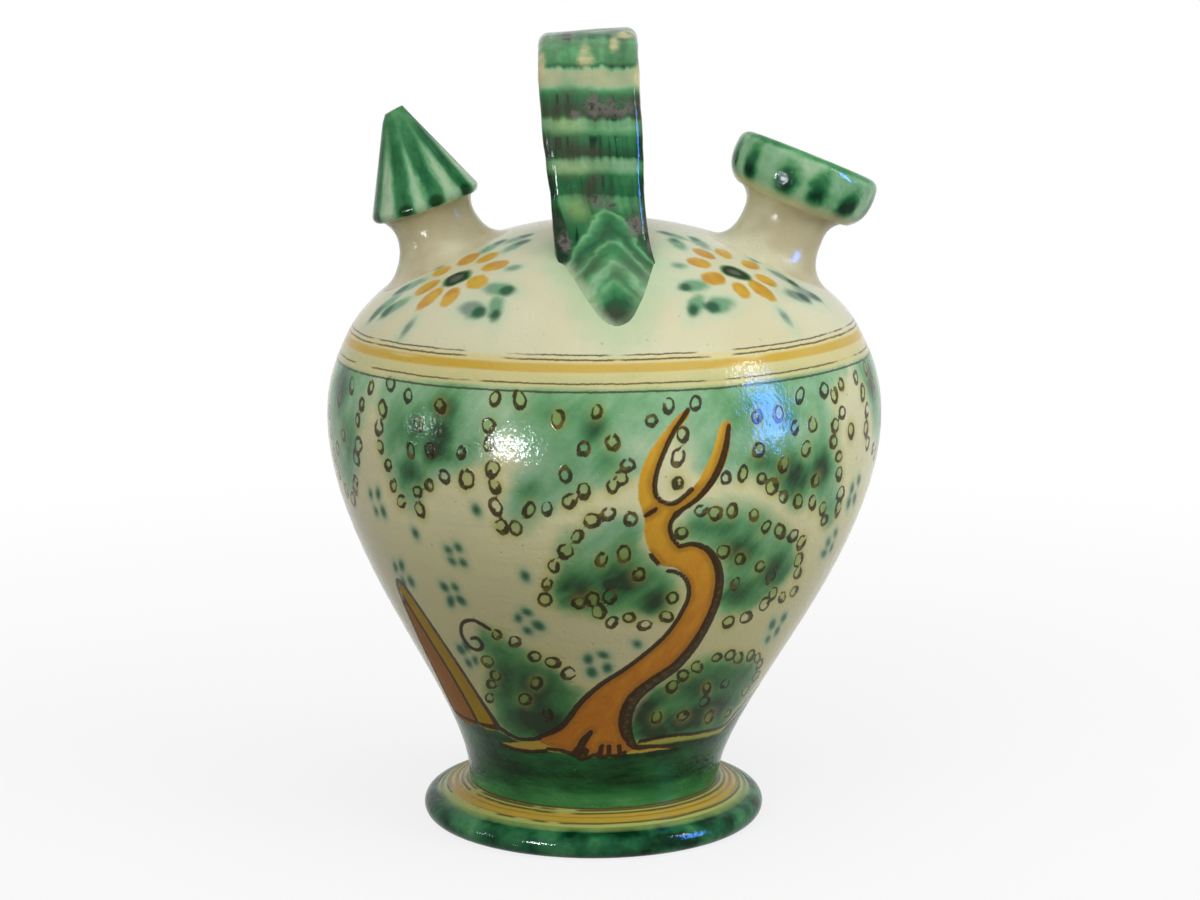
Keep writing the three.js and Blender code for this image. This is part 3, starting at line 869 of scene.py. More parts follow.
# Pools of thicker green: angle, height, width and height of the pool, strength
POOLS = (
    (-33.5, 164, 6, 5, 1.0), (-34.5, 150.5, 6, 5, 1.05), (-40, 156, 9, 9, 0.5), (-42, 141, 6, 7, 0.7),
    (-33.5, 157, 5, 6, 1.0), (-2, 161, 5, 6, 0.62), (0, 149, 5, 6, 0.45), (-16, 140, 6, 5, 0.4),
    (-11, 165, 8, 4, 0.3), (4, 107, 10, 6, 0.7), (-5, 103, 8, 6, 0.75), (1.5, 106, 3.5, 3, 1.1),
    (12, 99, 6, 6, 0.7), (40, 141, 8, 8, 0.95), (33, 146, 10, 6, 0.5), (48, 141, 6, 8, 0.7),
    (28, 165, 8, 5, 0.4), (38, 161, 8, 5, 0.4), (29, 116, 7, 5, 0.7), (22, 126, 9, 4, 0.55),
    (41, 106, 6, 6, 0.6), (31, 99, 7, 5, 0.45), (-16, 47, 8, 6, 0.85), (-24, 48, 9, 5, 0.6),
    (-20, 60, 6, 8, 0.4), (-30, 66, 5, 8, 0.4), (33, 48, 10, 5, 1.0), (21, 45, 6, 5, 0.9),
    (45, 50, 8, 6, 0.8), (15, 53, 4, 8, 0.7), (30, 62, 8, 6, 0.4), (74, 165, 9, 8, 0.9),
    (84, 150, 8, 7, 0.6), (-70, 165, 9, 8, 0.9), (-63, 148, 7, 8, 0.6),
)
CLUSTERS = (
    (-54, 127), (-33, 113), (-53, 101), (-37, 98), (-18, 90), (-1, 74), (-40, 73), (64, 128),
    (60, 110), (53, 80), (-80, 112), (-84, 86), (84, 116), (80, 90),
)
SPOTS = ((-26, 131), (-17, 108), (9, 82), (-43, 119))

# The tree: outlines of its bark, then brush lines of (angle, height, width)
TRUNK = [
    (-22, 40.5), (-14, 45.5), (-10, 50), (-6, 57), (0, 65), (6, 71), (11, 77), (15.5, 84), (18, 91),
    (19.5, 99), (18.6, 106), (15.5, 111), (11.5, 113), (9.3, 118), (8, 124), (7.8, 130), (6.4, 138),
    (6.8, 146), (9, 154), (12, 160.5), (15.6, 166), (16.4, 164), (13, 158), (10.6, 150), (9.6, 143),
    (9.9, 138), (11.6, 135.3), (14, 135.2), (17, 139.5), (19, 145), (21, 152), (22.8, 160.5),
    (25, 161), (24.4, 152), (22.6, 144), (19.2, 136.5), (15, 131.5), (13.2, 128), (13.6, 123),
    (15.8, 119.6), (18.5, 119.5), (22, 117), (25, 111), (26.5, 103), (26.8, 95), (25.8, 86),
    (23.5, 78), (19.5, 71), (14, 65.5), (10, 59.5), (8.6, 53), (9, 46), (11.5, 41), (16, 39),
    (9.5, 36), (5, 36.5), (2, 35.5), (-2, 36.5), (-6, 35.5), (-12, 37.5),
]
LEFT_ROOT = [(-12, 44), (-22, 41), (-30, 39), (-41, 36.4), (-30, 35.6), (-20, 36.6), (-12, 37.5)]
RIGHT_ROOT = [(9, 40), (16, 39.5), (25, 38.5), (33, 36), (25, 36.6), (15, 36), (8, 37)]
BARK_LINES = (
    [
        (13, 40, 3.0), (9.8, 46, 4.6), (9.0, 53, 5.0), (10.8, 60, 5.0), (15.4, 66.0, 4.8),
        (20.8, 71.6, 4.4), (24.2, 79, 4.0), (26, 87, 3.7), (26.8, 96, 3.5), (26.2, 105, 3.4),
        (24.4, 112, 3.0), (21.5, 117.6, 2.4), (18, 119.9, 1.8), (15.4, 119.2, 1.4),
    ],
    [
        (-24, 41, 1.6), (-15, 45.8, 2.5), (-10.6, 50.2, 2.4), (-6.2, 57.5, 2.2), (-0.2, 65.3, 2.0),
        (6, 71.4, 1.9), (11, 77.4, 1.8), (15.4, 84.2, 1.7), (17.9, 91, 1.6), (19.4, 99, 1.5),
        (18.6, 105, 1.4), (16.4, 109, 1.3), (13.6, 110.4, 1.0),
    ],
    [(11.4, 113, 1.3), (9.6, 116.5, 1.0)],
    [(15.4, 119.2, 1.3), (13.6, 123, 1.6), (13.1, 128, 1.5), (14.7, 131.4, 1.2)],
    [
        (16.4, 166, 1.5), (13.2, 159, 1.2), (10.7, 150, 1.2), (9.6, 143, 1.2), (9.9, 138, 1.3),
        (11.6, 135.3, 1.4), (14, 135.2, 1.3), (17, 139.6, 1.0),
    ],
    [(13.8, 131, 1.0), (18.2, 136, 1.9), (21.4, 143, 2.5), (23.4, 151, 2.4), (24.6, 160, 1.8)],
    [(8, 131, 1.2), (10, 133, 1.0)],
    [(-9, 36.6, 1.8), (-6.4, 39, 2.8), (-4.6, 42.5, 2.8), (-2.4, 45.6, 1.8)],
    [(-6, 35, 3.4), (-4.4, 37.5, 3.0)],
    [(1.2, 36, 1.4), (1.8, 40, 1.0)],
    [(4.8, 36, 1.4), (4.4, 39.6, 1.0)],
    [(9, 36, 1.6), (8.2, 39.6, 1.0)],
    [
        (-19, 37.6, 1.2), (-13, 37.2, 1.6), (-8, 35.4, 1.9), (-4, 34.6, 1.9), (-1, 36, 1.5),
        (2, 35, 1.5), (5, 35.8, 1.5), (8.6, 35.4, 1.5), (11, 36.8, 1.2),
    ],
    [(-41, 36.3, 1.2), (-30, 35.4, 1.2), (-20, 36.6, 1.3)],
    [(12, 40.6, 2.6), (15, 38.6, 2.5), (21, 38.4, 2.0), (27, 37.6, 1.5), (33, 35.9, 1.0)],
)
CURL = [
    (-29, 85.5, 1.3), (-33, 88.2, 1.4), (-37, 86.4, 1.4), (-39, 81.5, 1.4), (-38, 77, 1.4),
    (-35, 76, 1.3), (-33, 78.4, 1.2), (-34, 81, 1.2), (-36, 80.4, 1.1),
]
GROUND_LINES = (
    [
        (16, 41.2, 1.2), (27, 42, 1.2), (40, 41, 1.2), (57, 40.4, 1.4), (62, 44.5, 1.2), (68, 49, 1.2),
        (76, 53, 1.2), (88, 52, 1.2),
    ],
    [
        (-22, 41.5, 1.4), (-30, 40.2, 1.5), (-35, 41.6, 1.9), (-39, 43.2, 2.3), (-50, 42.8, 1.8),
        (-70, 43.2, 1.6),
    ],
)
# The hill at the left: its dark side, its sunny strip and its outlines
HILL = [(-69, 43), (-66, 62), (-62, 80), (-60.4, 88), (-58, 89), (-55.5, 78), (-52.6, 62), (-50, 43)]
SUNNY_STRIP = [
    (-58.6, 92), (-57.4, 96), (-55.2, 95), (-52, 87), (-47, 69), (-43, 54), (-39.5, 43), (-50, 43),
    (-53, 61), (-56, 78),
]
HILL_LINES = (
    [
        (-60.4, 88.6, 1.3), (-58.6, 95.4, 1.8), (-57, 97.4, 2.4), (-54.6, 95.4, 2.0), (-51.6, 87, 1.5),
        (-47, 70, 1.4), (-42.6, 54, 1.8), (-39, 44, 2.6),
    ],
    [(-58.4, 91, 1.2), (-56, 78, 1.5), (-53, 61.5, 1.5), (-50.2, 43.6, 1.4)],
    [(-58.4, 88.6, 1.1), (-60.4, 88.4, 1.1), (-62, 80, 1.4), (-66, 62, 1.6), (-69, 43.4, 1.8)],
)
GROUND_TOP = [
    (-180, 39), (-120, 43), (-70, 43), (-40, 42.5), (-28, 38.5), (-12, 36.5), (0, 35.5), (10, 36),
    (14, 40.5), (30, 41.5), (57, 40), (62, 44), (68, 48.5), (76, 52.5), (88, 51.5), (110, 44),
    (180, 39),
]
# Width of the sunlit verge under the ground's edge: angle, millimetres
VERGE = [
    (-180, 0.4), (-45, 0.3), (-12, 0.2), (12, 0.3), (18, 2.0), (57, 2.2), (76, 3.5), (110, 1.0),
    (180, 0.4),
]


def paint_belly(piece):
    """Works out where each brush mark lies on the belly."""
    points = points_of(piece)
    height = points[:, 2]
    drop = np.clip((BELLY_HEIGHT - height) / (BELLY_HEIGHT - FOOT_TOP), 0, 1)
    aside = points[:, 0] + FOOT_LEAN * drop**2
    radius = np.hypot(aside, points[:, 1])
    angle = np.degrees(np.arctan2(aside, -points[:, 1]))
    outer = radius > belly_radius(height) - WALL / 2
    brush = Brush(angle, height)
    inwards = {name: np.full(len(points), -FAR) for name in ("leaf", "bark", "hill", "sunny", "root")}
    outwards = {name: np.full(len(points), FAR) for name in ("ring", "hole", "stain", "line", "dab")}
    pool = np.zeros(len(points))
    ground = np.full(len(points), -FAR)
    turf = np.full(len(points), -FAR)
    for middle, side in ((0, 1), (180, -1)):
        brush.face(middle, side)
        crowns = CROWNS + (SIDE_CROWN,) if side > 0 else CROWNS
        for wash, rows, singles in crowns:
            brush.area(inwards["leaf"], wash)
            for row in rows:
                brush.leaf_row(outwards, row)
            for place in singles:
                brush.leaf_ring(outwards, *place)
        for place in POOLS:
            brush.blot(pool, *place)
        for place in CLUSTERS:
            brush.dab_cluster(outwards["dab"], *place)
        for place in SPOTS:
            brush.dab(outwards["dab"], *place, 1.7)
        brush.area(inwards["bark"], TRUNK)
        brush.area(inwards["root"], LEFT_ROOT)
        brush.area(inwards["root"], RIGHT_ROOT)
        brush.area(inwards["hill"], HILL)
        brush.area(inwards["sunny"], SUNNY_STRIP)
        for line in (*BARK_LINES, *GROUND_LINES, *HILL_LINES, CURL):
            brush.stroke(outwards["line"], line)
        turn = signed(angle - middle) * side
        half = np.abs(turn) <= 90
        top = np.interp(turn, *np.array(GROUND_TOP, float).T)
        ground[half] = (top - height)[half]
        turf[half] = (ground - np.interp(turn, *np.array(VERGE, float).T))[half]
    fields = {**inwards, **outwards, "pool": pool, "ground": ground, "turf": turf}
    for name, values in fields.items():
        set_field(piece, name, values)
    set_field(piece, "outer", outer)


# Glazes

# Cream by height, partly painted light: painted shade and warm bounce low down, lightest near 130 mm
CREAM_AND_PAINTED_LIGHT_STOPS = (
    (0.0, (0.66, 0.60, 0.28)),
    (0.30, (0.73, 0.68, 0.36)),
    (0.50, (0.85, 0.81, 0.47)),
    (0.75, (0.75, 0.72, 0.46)),
    (1.0, (0.715, 0.70, 0.50)),
)
CREAM_WARM = (0.69, 0.61, 0.36)
CREAM_GREEN = (0.66, 0.69, 0.45)
BAND_YELLOW = (0.75, 0.65, 0.30)
OCHRE = (0.66, 0.43, 0.06)
OLIVE = (0.42, 0.40, 0.07)
LEAF_OLIVE = (0.34, 0.42, 0.075)
BROWN = (0.034, 0.019, 0.006)
BROWN_THIN = (0.15, 0.10, 0.022)
GREEN_STOPS = (
    (0.0, (0.50, 0.66, 0.43)),
    (0.2, (0.28, 0.52, 0.30)),
    (0.4, (0.135, 0.375, 0.165)),
    (0.6, (0.050, 0.225, 0.085)),
    (0.8, (0.013, 0.115, 0.042)),
    (1.0, (0.002, 0.034, 0.012)),
)
GREEN_PALE = (0.50, 0.64, 0.40)
GREEN_DARK = (0.008, 0.045, 0.012)
PURPLE_GREY = (0.19, 0.18, 0.17)
# Brown lines
BAND_LINE = (0.07, 0.045, 0.014)
STEM_LINE = (0.10, 0.06, 0.015)
BROWN_WARM = (0.05, 0.022, 0.007)
BROWN_DRY = (0.20, 0.11, 0.024)
# Landscape. A pair is mixed by a noise.
LEAF_GLOW = (0.60, 0.66, 0.32)
LEAF_STAIN = (0.60, 0.55, 0.15)
LOW_LEAF_TINT = (1.0, 0.98, 0.72)
GRASS_TINT = (1.0, 1.0, 0.72)
FOUR_DAB_HALO = (0.33, 0.52, 0.32)
FOUR_DAB = (0.014, 0.125, 0.05)
HILL_SHADE = ((0.36, 0.15, 0.020), (0.29, 0.10, 0.012))
HILL_SUN = ((0.46, 0.32, 0.026), (0.36, 0.19, 0.016))
ROOT_OCHRE = ((0.50, 0.42, 0.07), (0.58, 0.30, 0.04))
TIMBER_STOPS = (
    (0.0, (0.58, 0.195, 0.016)),
    (0.45, (0.72, 0.30, 0.026)),
    (1.0, (0.74, 0.42, 0.036)),
)
BARK_SHADE = (0.30, 0.13, 0.022)
INSIDE_CREAM = (0.60, 0.50, 0.33)
# Dome and necks
RUN_GREEN = (0.46, 0.63, 0.38)
MINT = (0.50, 0.66, 0.45)
ROSETTE_DAB = ((0.10, 0.31, 0.15), (0.17, 0.24, 0.20))
ROSETTE_DAB_CORE = (0.014, 0.085, 0.04)
PETAL_OCHRE = ((0.66, 0.40, 0.030), (0.56, 0.27, 0.020))
EYE_GREEN = (0.06, 0.20, 0.07)
EYE_DARK = (0.016, 0.030, 0.014)
NECK_BEIGE = (0.53, 0.45, 0.27)
# Handle, cone and foot
THIN_GREEN = (0.34, 0.50, 0.14)
CROWN_OLIVE = (0.42, 0.42, 0.23)
BLOT_GREY = (0.17, 0.15, 0.11)
SOOT = ((0.19, 0.165, 0.15), (0.05, 0.055, 0.045))
BARE_CREAM = (0.64, 0.58, 0.31)
SKIRT_CREAM = (0.58, 0.60, 0.36)
SLOPE_TINTS = ((0.47, 0.46, 0.13), (0.32, 0.43, 0.12))
SLOPE_OCHRE = (0.50, 0.32, 0.04)
SLOPE_LINE = (0.05, 0.04, 0.012)
BARE_CLAY = (0.55, 0.40, 0.26)
# Fine lines: height or radius of each, half its width, and how much of it is worn away
SHOULDER_LINES = ((183.6, 0.06, 0.47), (182.1, 0.10, 0.44), (174.6, 0.08, 0.45), (172.0, 0.16, 0.30))
SLOPE_LINES = ((54.0, 0.18), (48.6, 0.18), (46.6, 0.35))


def new_glaze(name):
    glaze = bpy.data.materials.new(name)
    glaze.use_nodes = True
    glaze.node_tree.nodes.clear()
    return glaze, Bench(glaze.node_tree)


def fire(bench, colour, relief=None, matt=None):
    """Ends a glaze: a glossy skin with pinholes and slight waves, duller where it is matt."""
    waves = bench.noise(4.0, 3.0)
    grain = bench.noise(1.6, 2.0)
    pits = bench.step(bench.noise(1.6, 1.0), 0.30, 0.22)
    height = waves * 0.09 + grain * 0.16 - pits * 0.12
    if relief is not None:
        height = height + relief
    bump = bench.node("ShaderNodeBump", {}, {"Strength": 1.0, "Distance": MM, "Height": height})
    rough = bench.noise(14.0, 3.0) * 0.12 + 0.05 + pits * 0.2
    if matt is not None:
        rough = rough + matt * 0.45
    skin = {
        "Base Color": colour,
        "Roughness": rough,
        "Normal": bump,
        "IOR": 1.5,
        "Specular IOR Level": 0.08,
    }
    shader = bench.node("ShaderNodeBsdfPrincipled", {}, skin)
    bench.node("ShaderNodeOutputMaterial", {}, {"Surface": shader})


def cream_coat(bench):
    """The bare tin glaze: slow drifts, faint streaks, specks; yellower and darker low down as painted
    light.
    """
    up = bench.node("ShaderNodeSeparateXYZ", {}, {0: bench.place()}, "Z") / MM
    drift = bench.noise(55.0, 2.0)
    streaks = bench.noise(4.0, 3.0, 0.6, bench.stretched((14.0, 14.0, 0.5)))
    # painted light: darker and yellower low down for shade and warm bounce, lightest near 130 mm
    colour = bench.ramp((up - 60) / 140, CREAM_AND_PAINTED_LIGHT_STOPS)
    colour = bench.mix(colour, CREAM_WARM, bench.step(drift, 0.42, 0.68) * 0.6)
    colour = bench.mix(colour, CREAM_GREEN, bench.step(streaks, 0.52, 0.75) * 0.4)
    specks = bench.step(bench.noise(2.4, 1.0), 0.26, 0.20)
    return bench.mix(colour, BROWN_THIN, specks * 0.35)


def heights(bench):
    """Height in millimetres of the painted bands: they climb a little to the right and waver."""
    spot = bench.node("ShaderNodeSeparateXYZ", {}, {0: bench.place()})
    waver = bench.noise(60.0, 1.0) - 0.5
    return (spot.also("Z") - spot * 0.010) / MM + waver * 1.2


def shoulder_bands(bench, colour):
    """Yellow and ochre bands between thin dark lines, round the shoulder."""
    height = heights(bench)
    brush = bench.noise(9.0, 3.0, 0.6, bench.stretched((8.0, 8.0, 0.6)))
    thin = bench.noise(10.0, 2.0)
    rough = bench.noise(1.6, 2.0)
    yellow = bench.band(height + (brush - 0.5) * 3, 178.0, 4.2, 1.6)
    colour = bench.mix(colour, BAND_YELLOW, yellow * (0.45 + brush * 0.8))
    ochre = bench.band(height + (brush - 0.5) * 1.2, 179.6, 1.0, 0.8)
    faded = bench.step(bench.noise(70.0, 2.0), 0.40, 0.56)
    colour = bench.mix(colour, OCHRE, ochre * bench.step(brush, 0.28, 0.46) * (0.8 + faded * 0.2))
    for centre, half, gaps in SHOULDER_LINES:
        line = bench.band(height + (thin - 0.5) * 0.5 + (rough - 0.5) * 0.5, centre, half, 0.35)
        worn = bench.step(bench.noise(26.0, 3.0), gaps - 0.06, gaps + 0.02)
        colour = bench.mix(colour, BAND_LINE, line * worn * 0.85)
    return colour


def green_wash(bench, depth):
    """Copper green, watery where thin and nearly black where it pools."""
    return bench.ramp(depth, GREEN_STOPS)


def build_painted_glaze():
    """The belly: landscape in green, ochre and brown on the cream coat."""
    glaze, bench = new_glaze("painted_glaze")
    outer = bench.field("outer")
    edge = bench.noise(7.0, 3.0) - 0.5
    fine = bench.noise(1.8, 2.0) - 0.5
    brush = bench.noise(7.0, 3.0, 0.6, bench.stretched((1.0, 1.0, 6.0), (0.0, 0.75, 0.0)))
    clouds = bench.noise(20.0, 3.0, 0.55)
    colour = cream_coat(bench)
    # leaves: a watery wash, deeper green low down and darker in its pools
    up = bench.node("ShaderNodeSeparateXYZ", {}, {0: bench.place()}, "Z") / MM
    leaf = bench.field("leaf")
    wash = bench.step(leaf + edge * 6, -5.0, 2.0)
    glow = bench.step(leaf + edge * 8, -7.0, 1.0)
    body = bench.step(up, 150.0, 95.0) * 0.24 + bench.step(up, 90.0, 60.0) * 0.16
    body = body + bench.step(leaf, -1.0, 7.0) * 0.14 + 0.12
    pool = bench.field("pool")
    depth = body + (clouds - 0.5) * 0.7 + (brush - 0.5) * (pool * 1.1 + 0.45) + pool * 0.78
    colour = bench.mix(colour, LEAF_GLOW, glow * 0.45)
    yellower = bench.step(up, 135.0, 85.0) * 0.9
    green = bench.mix(green_wash(bench, depth), LOW_LEAF_TINT, yellower, "MULTIPLY")
    colour = bench.mix(colour, green, wash * 0.95)
    # dabs
    dab = bench.field("dab") + edge * 1.4
    colour = bench.mix(colour, FOUR_DAB_HALO, bench.step(dab, 3.6, -0.6) * 0.62)
    colour = bench.mix(colour, FOUR_DAB, bench.step(dab, 1.3, -1.3) * 0.92)
    # leaf loops: a fine dark brush, its colour run a little into the glaze round some
    stain = bench.field("stain")
    spilt = bench.step(stain + edge * 4, 3.2, 0.0) * (0.42 - wash * 0.30)
    colour = bench.mix(colour, LEAF_STAIN, spilt)
    colour = bench.mix(colour, LEAF_OLIVE, bench.step(stain + edge * 2, 1.2, -1.4) * 0.42)
    press = fine * 0.7 + edge * 0.6 + (bench.noise(3.2, 2.0) - 0.5) * 1.5
    ring = bench.step(bench.field("ring") + press, 0.16, -0.24)
    ink = ring * bench.step(bench.field("hole") + press, -0.26, 0.20)
    tone = bench.mix(BROWN, BROWN_THIN, bench.step(bench.noise(4.0, 2.0), 0.48, 0.68))
    colour = bench.mix(colour, tone, ink * 0.92)
    # ground, hill and tree
    verge = bench.step(bench.field("ground") + edge, -0.7, 0.2)
    colour = bench.mix(colour, OLIVE, verge)
    turf = bench.step(bench.field("turf") + edge * 1.6, -0.5, 0.9)
    stem_streaks = bench.noise(9.0, 3.0, 0.6, bench.stretched((5.0, 5.0, 0.8)))
    # the stem's green, paler near the foot as a painted reflection of the floor
    stem = (clouds - 0.5) * 0.6 + (stem_streaks - 0.5) * 0.8 + 0.86 - bench.step(up, 26.0, 15.0) * 0.28
    grass = bench.mix(green_wash(bench, stem), GRASS_TINT, 0.9, "MULTIPLY")
    colour = bench.mix(colour, grass, turf * 0.98)
    hill = bench.step(bench.field("hill") + fine * 0.8, -0.3, 0.3)
    colour = bench.mix(colour, bench.mix(*HILL_SHADE, clouds), hill)
    sunny = bench.step(bench.field("sunny") + fine * 0.8, -0.3, 0.3)
    colour = bench.mix(colour, bench.mix(*HILL_SUN, brush), sunny)
    root = bench.step(bench.field("root") + fine * 0.8, -0.3, 0.3)
    colour = bench.mix(colour, bench.mix(*ROOT_OCHRE, clouds), root)
    bark = bench.step(bench.field("bark") + fine * 0.8, -0.3, 0.3)
    grain = bench.noise(3.2, 3.0, 0.6, bench.stretched((1.0, 1.0, 7.0), (0.0, 0.35, 0.0)))
    timber = bench.ramp(bench.step(up, 40.0, 165.0) + (grain - 0.5) * 0.9, TIMBER_STOPS)
    colour = bench.mix(colour, timber, bark)
    # outlines: solid when thin, scratched by a dry brush when broad, with a softer brown beside them
    line = bench.field("line")
    beside_line = bench.step(line + edge * 2.5, 2.6, 0.2) * bark
    colour = bench.mix(colour, BARK_SHADE, beside_line * 0.55)
    drawn = bench.step(line + fine * 0.5, 0.25, -0.20)
    dry = bench.step(bench.noise(2.0, 3.0, 0.6), 0.48, 0.66) * bench.step(line + edge * 1.5, -0.6, -1.6)
    dark = bench.mix(bench.mix(BROWN_WARM, BROWN, clouds), BROWN_DRY, dry * 0.5)
    colour = bench.mix(colour, dark, drawn * 0.95)
    colour = shoulder_bands(bench, colour)
    stem_line = bench.band(up + edge * 0.6, 14.2, 0.35, 0.4)
    colour = bench.mix(colour, STEM_LINE, stem_line * 0.8)
    colour = bench.mix(INSIDE_CREAM, colour, outer)
    dull = bench.maths("MAXIMUM", hill, sunny)
    fire(bench, colour, (ink + drawn * 0.7) * 0.05, dull)
    return glaze


# Rosettes on the dome: x, y, and 1 or -1 for the way that each turns
ROSETTES = ((-51.0, -42.0, -1.0), (45.0, -43.0, 1.0), (51.0, 42.0, -1.0), (-45.0, 43.0, 1.0))
PETALS = 8
FIRST_PETAL = 12  # degrees
PETAL_RING = 12.2
PETAL_MIDDLE = np.array((-0.8, 1.8))  # middle of that ring, off the eye
PETAL_HALF_SIZES = (4.6, 3.4)
EYE_HALF_SIZES = (5.5, 4.4)
# Dabs round a rosette: the groups' angles, each dab's place in its group, and the small single ones
DAB_GROUPS = (27, 135, 241)
DAB_PLACES = ((-13, 22.5), (13, 23.0), (0, 29.0))
SINGLE_DABS = (68, 197, 324)
SINGLE_REACH = 20.5


def add_oval(field, x, y, at, long, wide, way):
    """Adds an oval to a field of distances that are negative inside."""
    along = (x - at[0]) * math.cos(way) + (y - at[1]) * math.sin(way)
    off = (y - at[1]) * math.cos(way) - (x - at[0]) * math.sin(way)
    np.minimum(field, (np.hypot(along / long, off / wide) - 1) * wide, out=field)


def spoke(degrees, far):
    """A place so far from a rosette's eye, this way round it."""
    way = math.radians(degrees)
    return far * math.cos(way), far * math.sin(way)


def paint_dome(piece):
    """Works out where the rosettes lie on the dome, and how far the strap's green has run."""
    points = points_of(piece)
    x = points[:, 0]
    y = points[:, 1]
    fields = {name: np.full(len(x), FAR) for name in ("petal", "eye", "dab", "core", "run")}
    random = np.random.default_rng(SEED)
    for at_x, at_y, side in ROSETTES:
        front = 1 if at_y < 0 else -1
        u = (x - at_x) * side * front
        v = (y - at_y) * front
        add_oval(fields["eye"], u, v, (0, 0), *EYE_HALF_SIZES, 0.3)
        for number in range(PETALS):
            angle = 360 / PETALS * number + FIRST_PETAL
            far = PETAL_RING * random.uniform(0.95, 1.05)
            size = random.uniform(0.88, 1.14)
            place = PETAL_MIDDLE + spoke(angle, far)
            long, wide = (half * size for half in PETAL_HALF_SIZES)
            add_oval(fields["petal"], u, v, place, long, wide, math.radians(angle))
        for angle in DAB_GROUPS:
            for off, far in DAB_PLACES:
                size = random.uniform(0.9, 1.12)
                way = math.radians(angle + random.uniform(-35, 35))
                place = np.array(spoke(angle + off, far))
                end = place + 3.2 * np.array((math.cos(way), math.sin(way)))
                add_oval(fields["dab"], u, v, place, 5.7 * size, 2.8 * size, way)
                add_oval(fields["core"], u, v, end, 2.3 * size, 1.7 * size, way)
        for angle in SINGLE_DABS:
            place = spoke(angle, SINGLE_REACH)
            add_oval(fields["dab"], u, v, place, 2.6, 1.7, math.radians(angle))
    for front in (1, -1):
        away = -inside_of(x * front, -y * front, tongue_outline(front))
        np.minimum(fields["run"], away, out=fields["run"])
    for name, values in fields.items():
        set_field(piece, name, values)


def build_dome_glaze():
    """The dome: rosettes of ochre petals and green dabs on the cream coat."""
    glaze, bench = new_glaze("rosette_glaze")
    edge = bench.noise(6.0, 3.0) - 0.5
    clouds = bench.noise(8.0, 2.0)
    colour = cream_coat(bench)
    run = bench.field("run")
    bleed = bench.step(run + edge * 10, 13.0, -1.0)
    colour = bench.mix(colour, RUN_GREEN, bleed * 0.75)
    # dabs: a mint halo, a grey-green body and a dark spot where the brush was lifted
    dab = bench.field("dab")
    halo = bench.step(dab + edge * 3, 5.0, -1.2)
    colour = bench.mix(colour, MINT, halo * 0.65)
    smoky = bench.step(bench.noise(26.0, 2.0), 0.46, 0.60)
    body = bench.mix(*ROSETTE_DAB, smoky)
    colour = bench.mix(colour, body, bench.step(dab + edge * 2.2, 1.3, -1.3) * 0.85)
    core = bench.step(bench.field("core") + edge * 2.2, 1.2, -0.8)
    colour = bench.mix(colour, ROSETTE_DAB_CORE, core * 0.9)
    petal = bench.step(bench.field("petal") + edge * 2.2, 0.6, -0.7)
    ochre = bench.mix(*PETAL_OCHRE, bench.step(clouds, 0.35, 0.65))
    colour = bench.mix(colour, ochre, petal * 0.95)
    eye = bench.field("eye")
    colour = bench.mix(colour, EYE_GREEN, bench.step(eye + edge * 2.4, 0.8, -0.8))
    colour = bench.mix(colour, EYE_DARK, bench.step(eye + edge * 4.0, -0.2, -1.6) * 0.9)
    colour = bench.mix(colour, PURPLE_GREY, bench.step(eye + edge * 3.0, -1.8, -4.0) * 0.55)
    colour = shoulder_bands(bench, colour)
    fire(bench, colour)
    return glaze


def build_neck_glaze():
    """The necks: the cream coat, a little warmer and thicker."""
    glaze, bench = new_glaze("cream_glaze")
    colour = cream_coat(bench)
    thick = bench.step(bench.noise(18.0, 2.0), 0.30, 0.60)
    fire(bench, bench.mix(colour, NECK_BEIGE, thick * 0.8))
    return glaze


# Depth of the green on the handle by height: each band is thin at its top and pools at its foot
STRAP_TONES = (
    (214, 0.92), (222, 0.84), (226, 0.72), (229, 0.58), (231.4, 0.62), (232.4, 0.86), (238.6, 0.78),
    (240.0, 0.48), (241.2, 0.30), (243.6, 0.26), (244.7, 0.50), (245.4, 0.88), (248, 0.80),
    (252, 0.68), (253.3, 0.50), (254.6, 0.36), (257.2, 0.32), (258.2, 0.64), (258.9, 0.90),
    (262, 0.80), (265.7, 0.70), (267.2, 0.52), (268.6, 0.24), (269.8, 0.10), (273.8, 0.09),
    (274.8, 0.40), (275.5, 0.76), (276.6, 0.54), (283.6, 0.44), (285.2, 0.76), (288, 0.70),
)
# The same on its tongues, by the distance of each finger-pressed chevron's point from the axis
CHEVRON_TONES = (
    (24, 0.92), (38, 0.88), (40.4, 0.78), (42, 0.40), (43.8, 0.66), (46, 0.82), (48.2, 0.70),
    (50, 0.38), (52, 0.62), (55, 0.68), (58.5, 0.50), (61, 0.24), (63.5, 0.34), (66, 0.58), (69, 0.46),
    (72, 0.66), (75, 0.88), (84, 1.0),
)
# Places on the handle (across, height, half width, half height): cream left bare, copper laid on so
# thick that it bloomed grey, and green that ran thin
BARE_PATCHES = (
    (-1.0, 277.6, 3.2, 2.4), (-1.0, 280.6, 1.9, 2.8), (-17.0, 275.0, 2.4, 6.0), (9.0, 283.0, 1.9, 3.0),
    (13.0, 285.6, 4.0, 1.5), (17.0, 272.0, 1.6, 4.5),
)
BLOOMS = (
    (3.5, 262.6, 6.5, 4.2), (11.0, 262.0, 4.5, 4.0), (-5.0, 259.6, 2.2, 2.2), (2.0, 229.6, 4.6, 3.2),
    (11.0, 222.0, 5.0, 4.0), (-14.5, 216.5, 3.0, 3.4), (16.5, 216.0, 2.6, 4.0), (6.5, 188.0, 2.4, 2.2),
)
THIN_PATCHES = ((-8.0, 227.5, 4.0, 3.6), (-8.0, 241.5, 7.5, 2.4), (-9.0, 256.0, 6.0, 2.4))


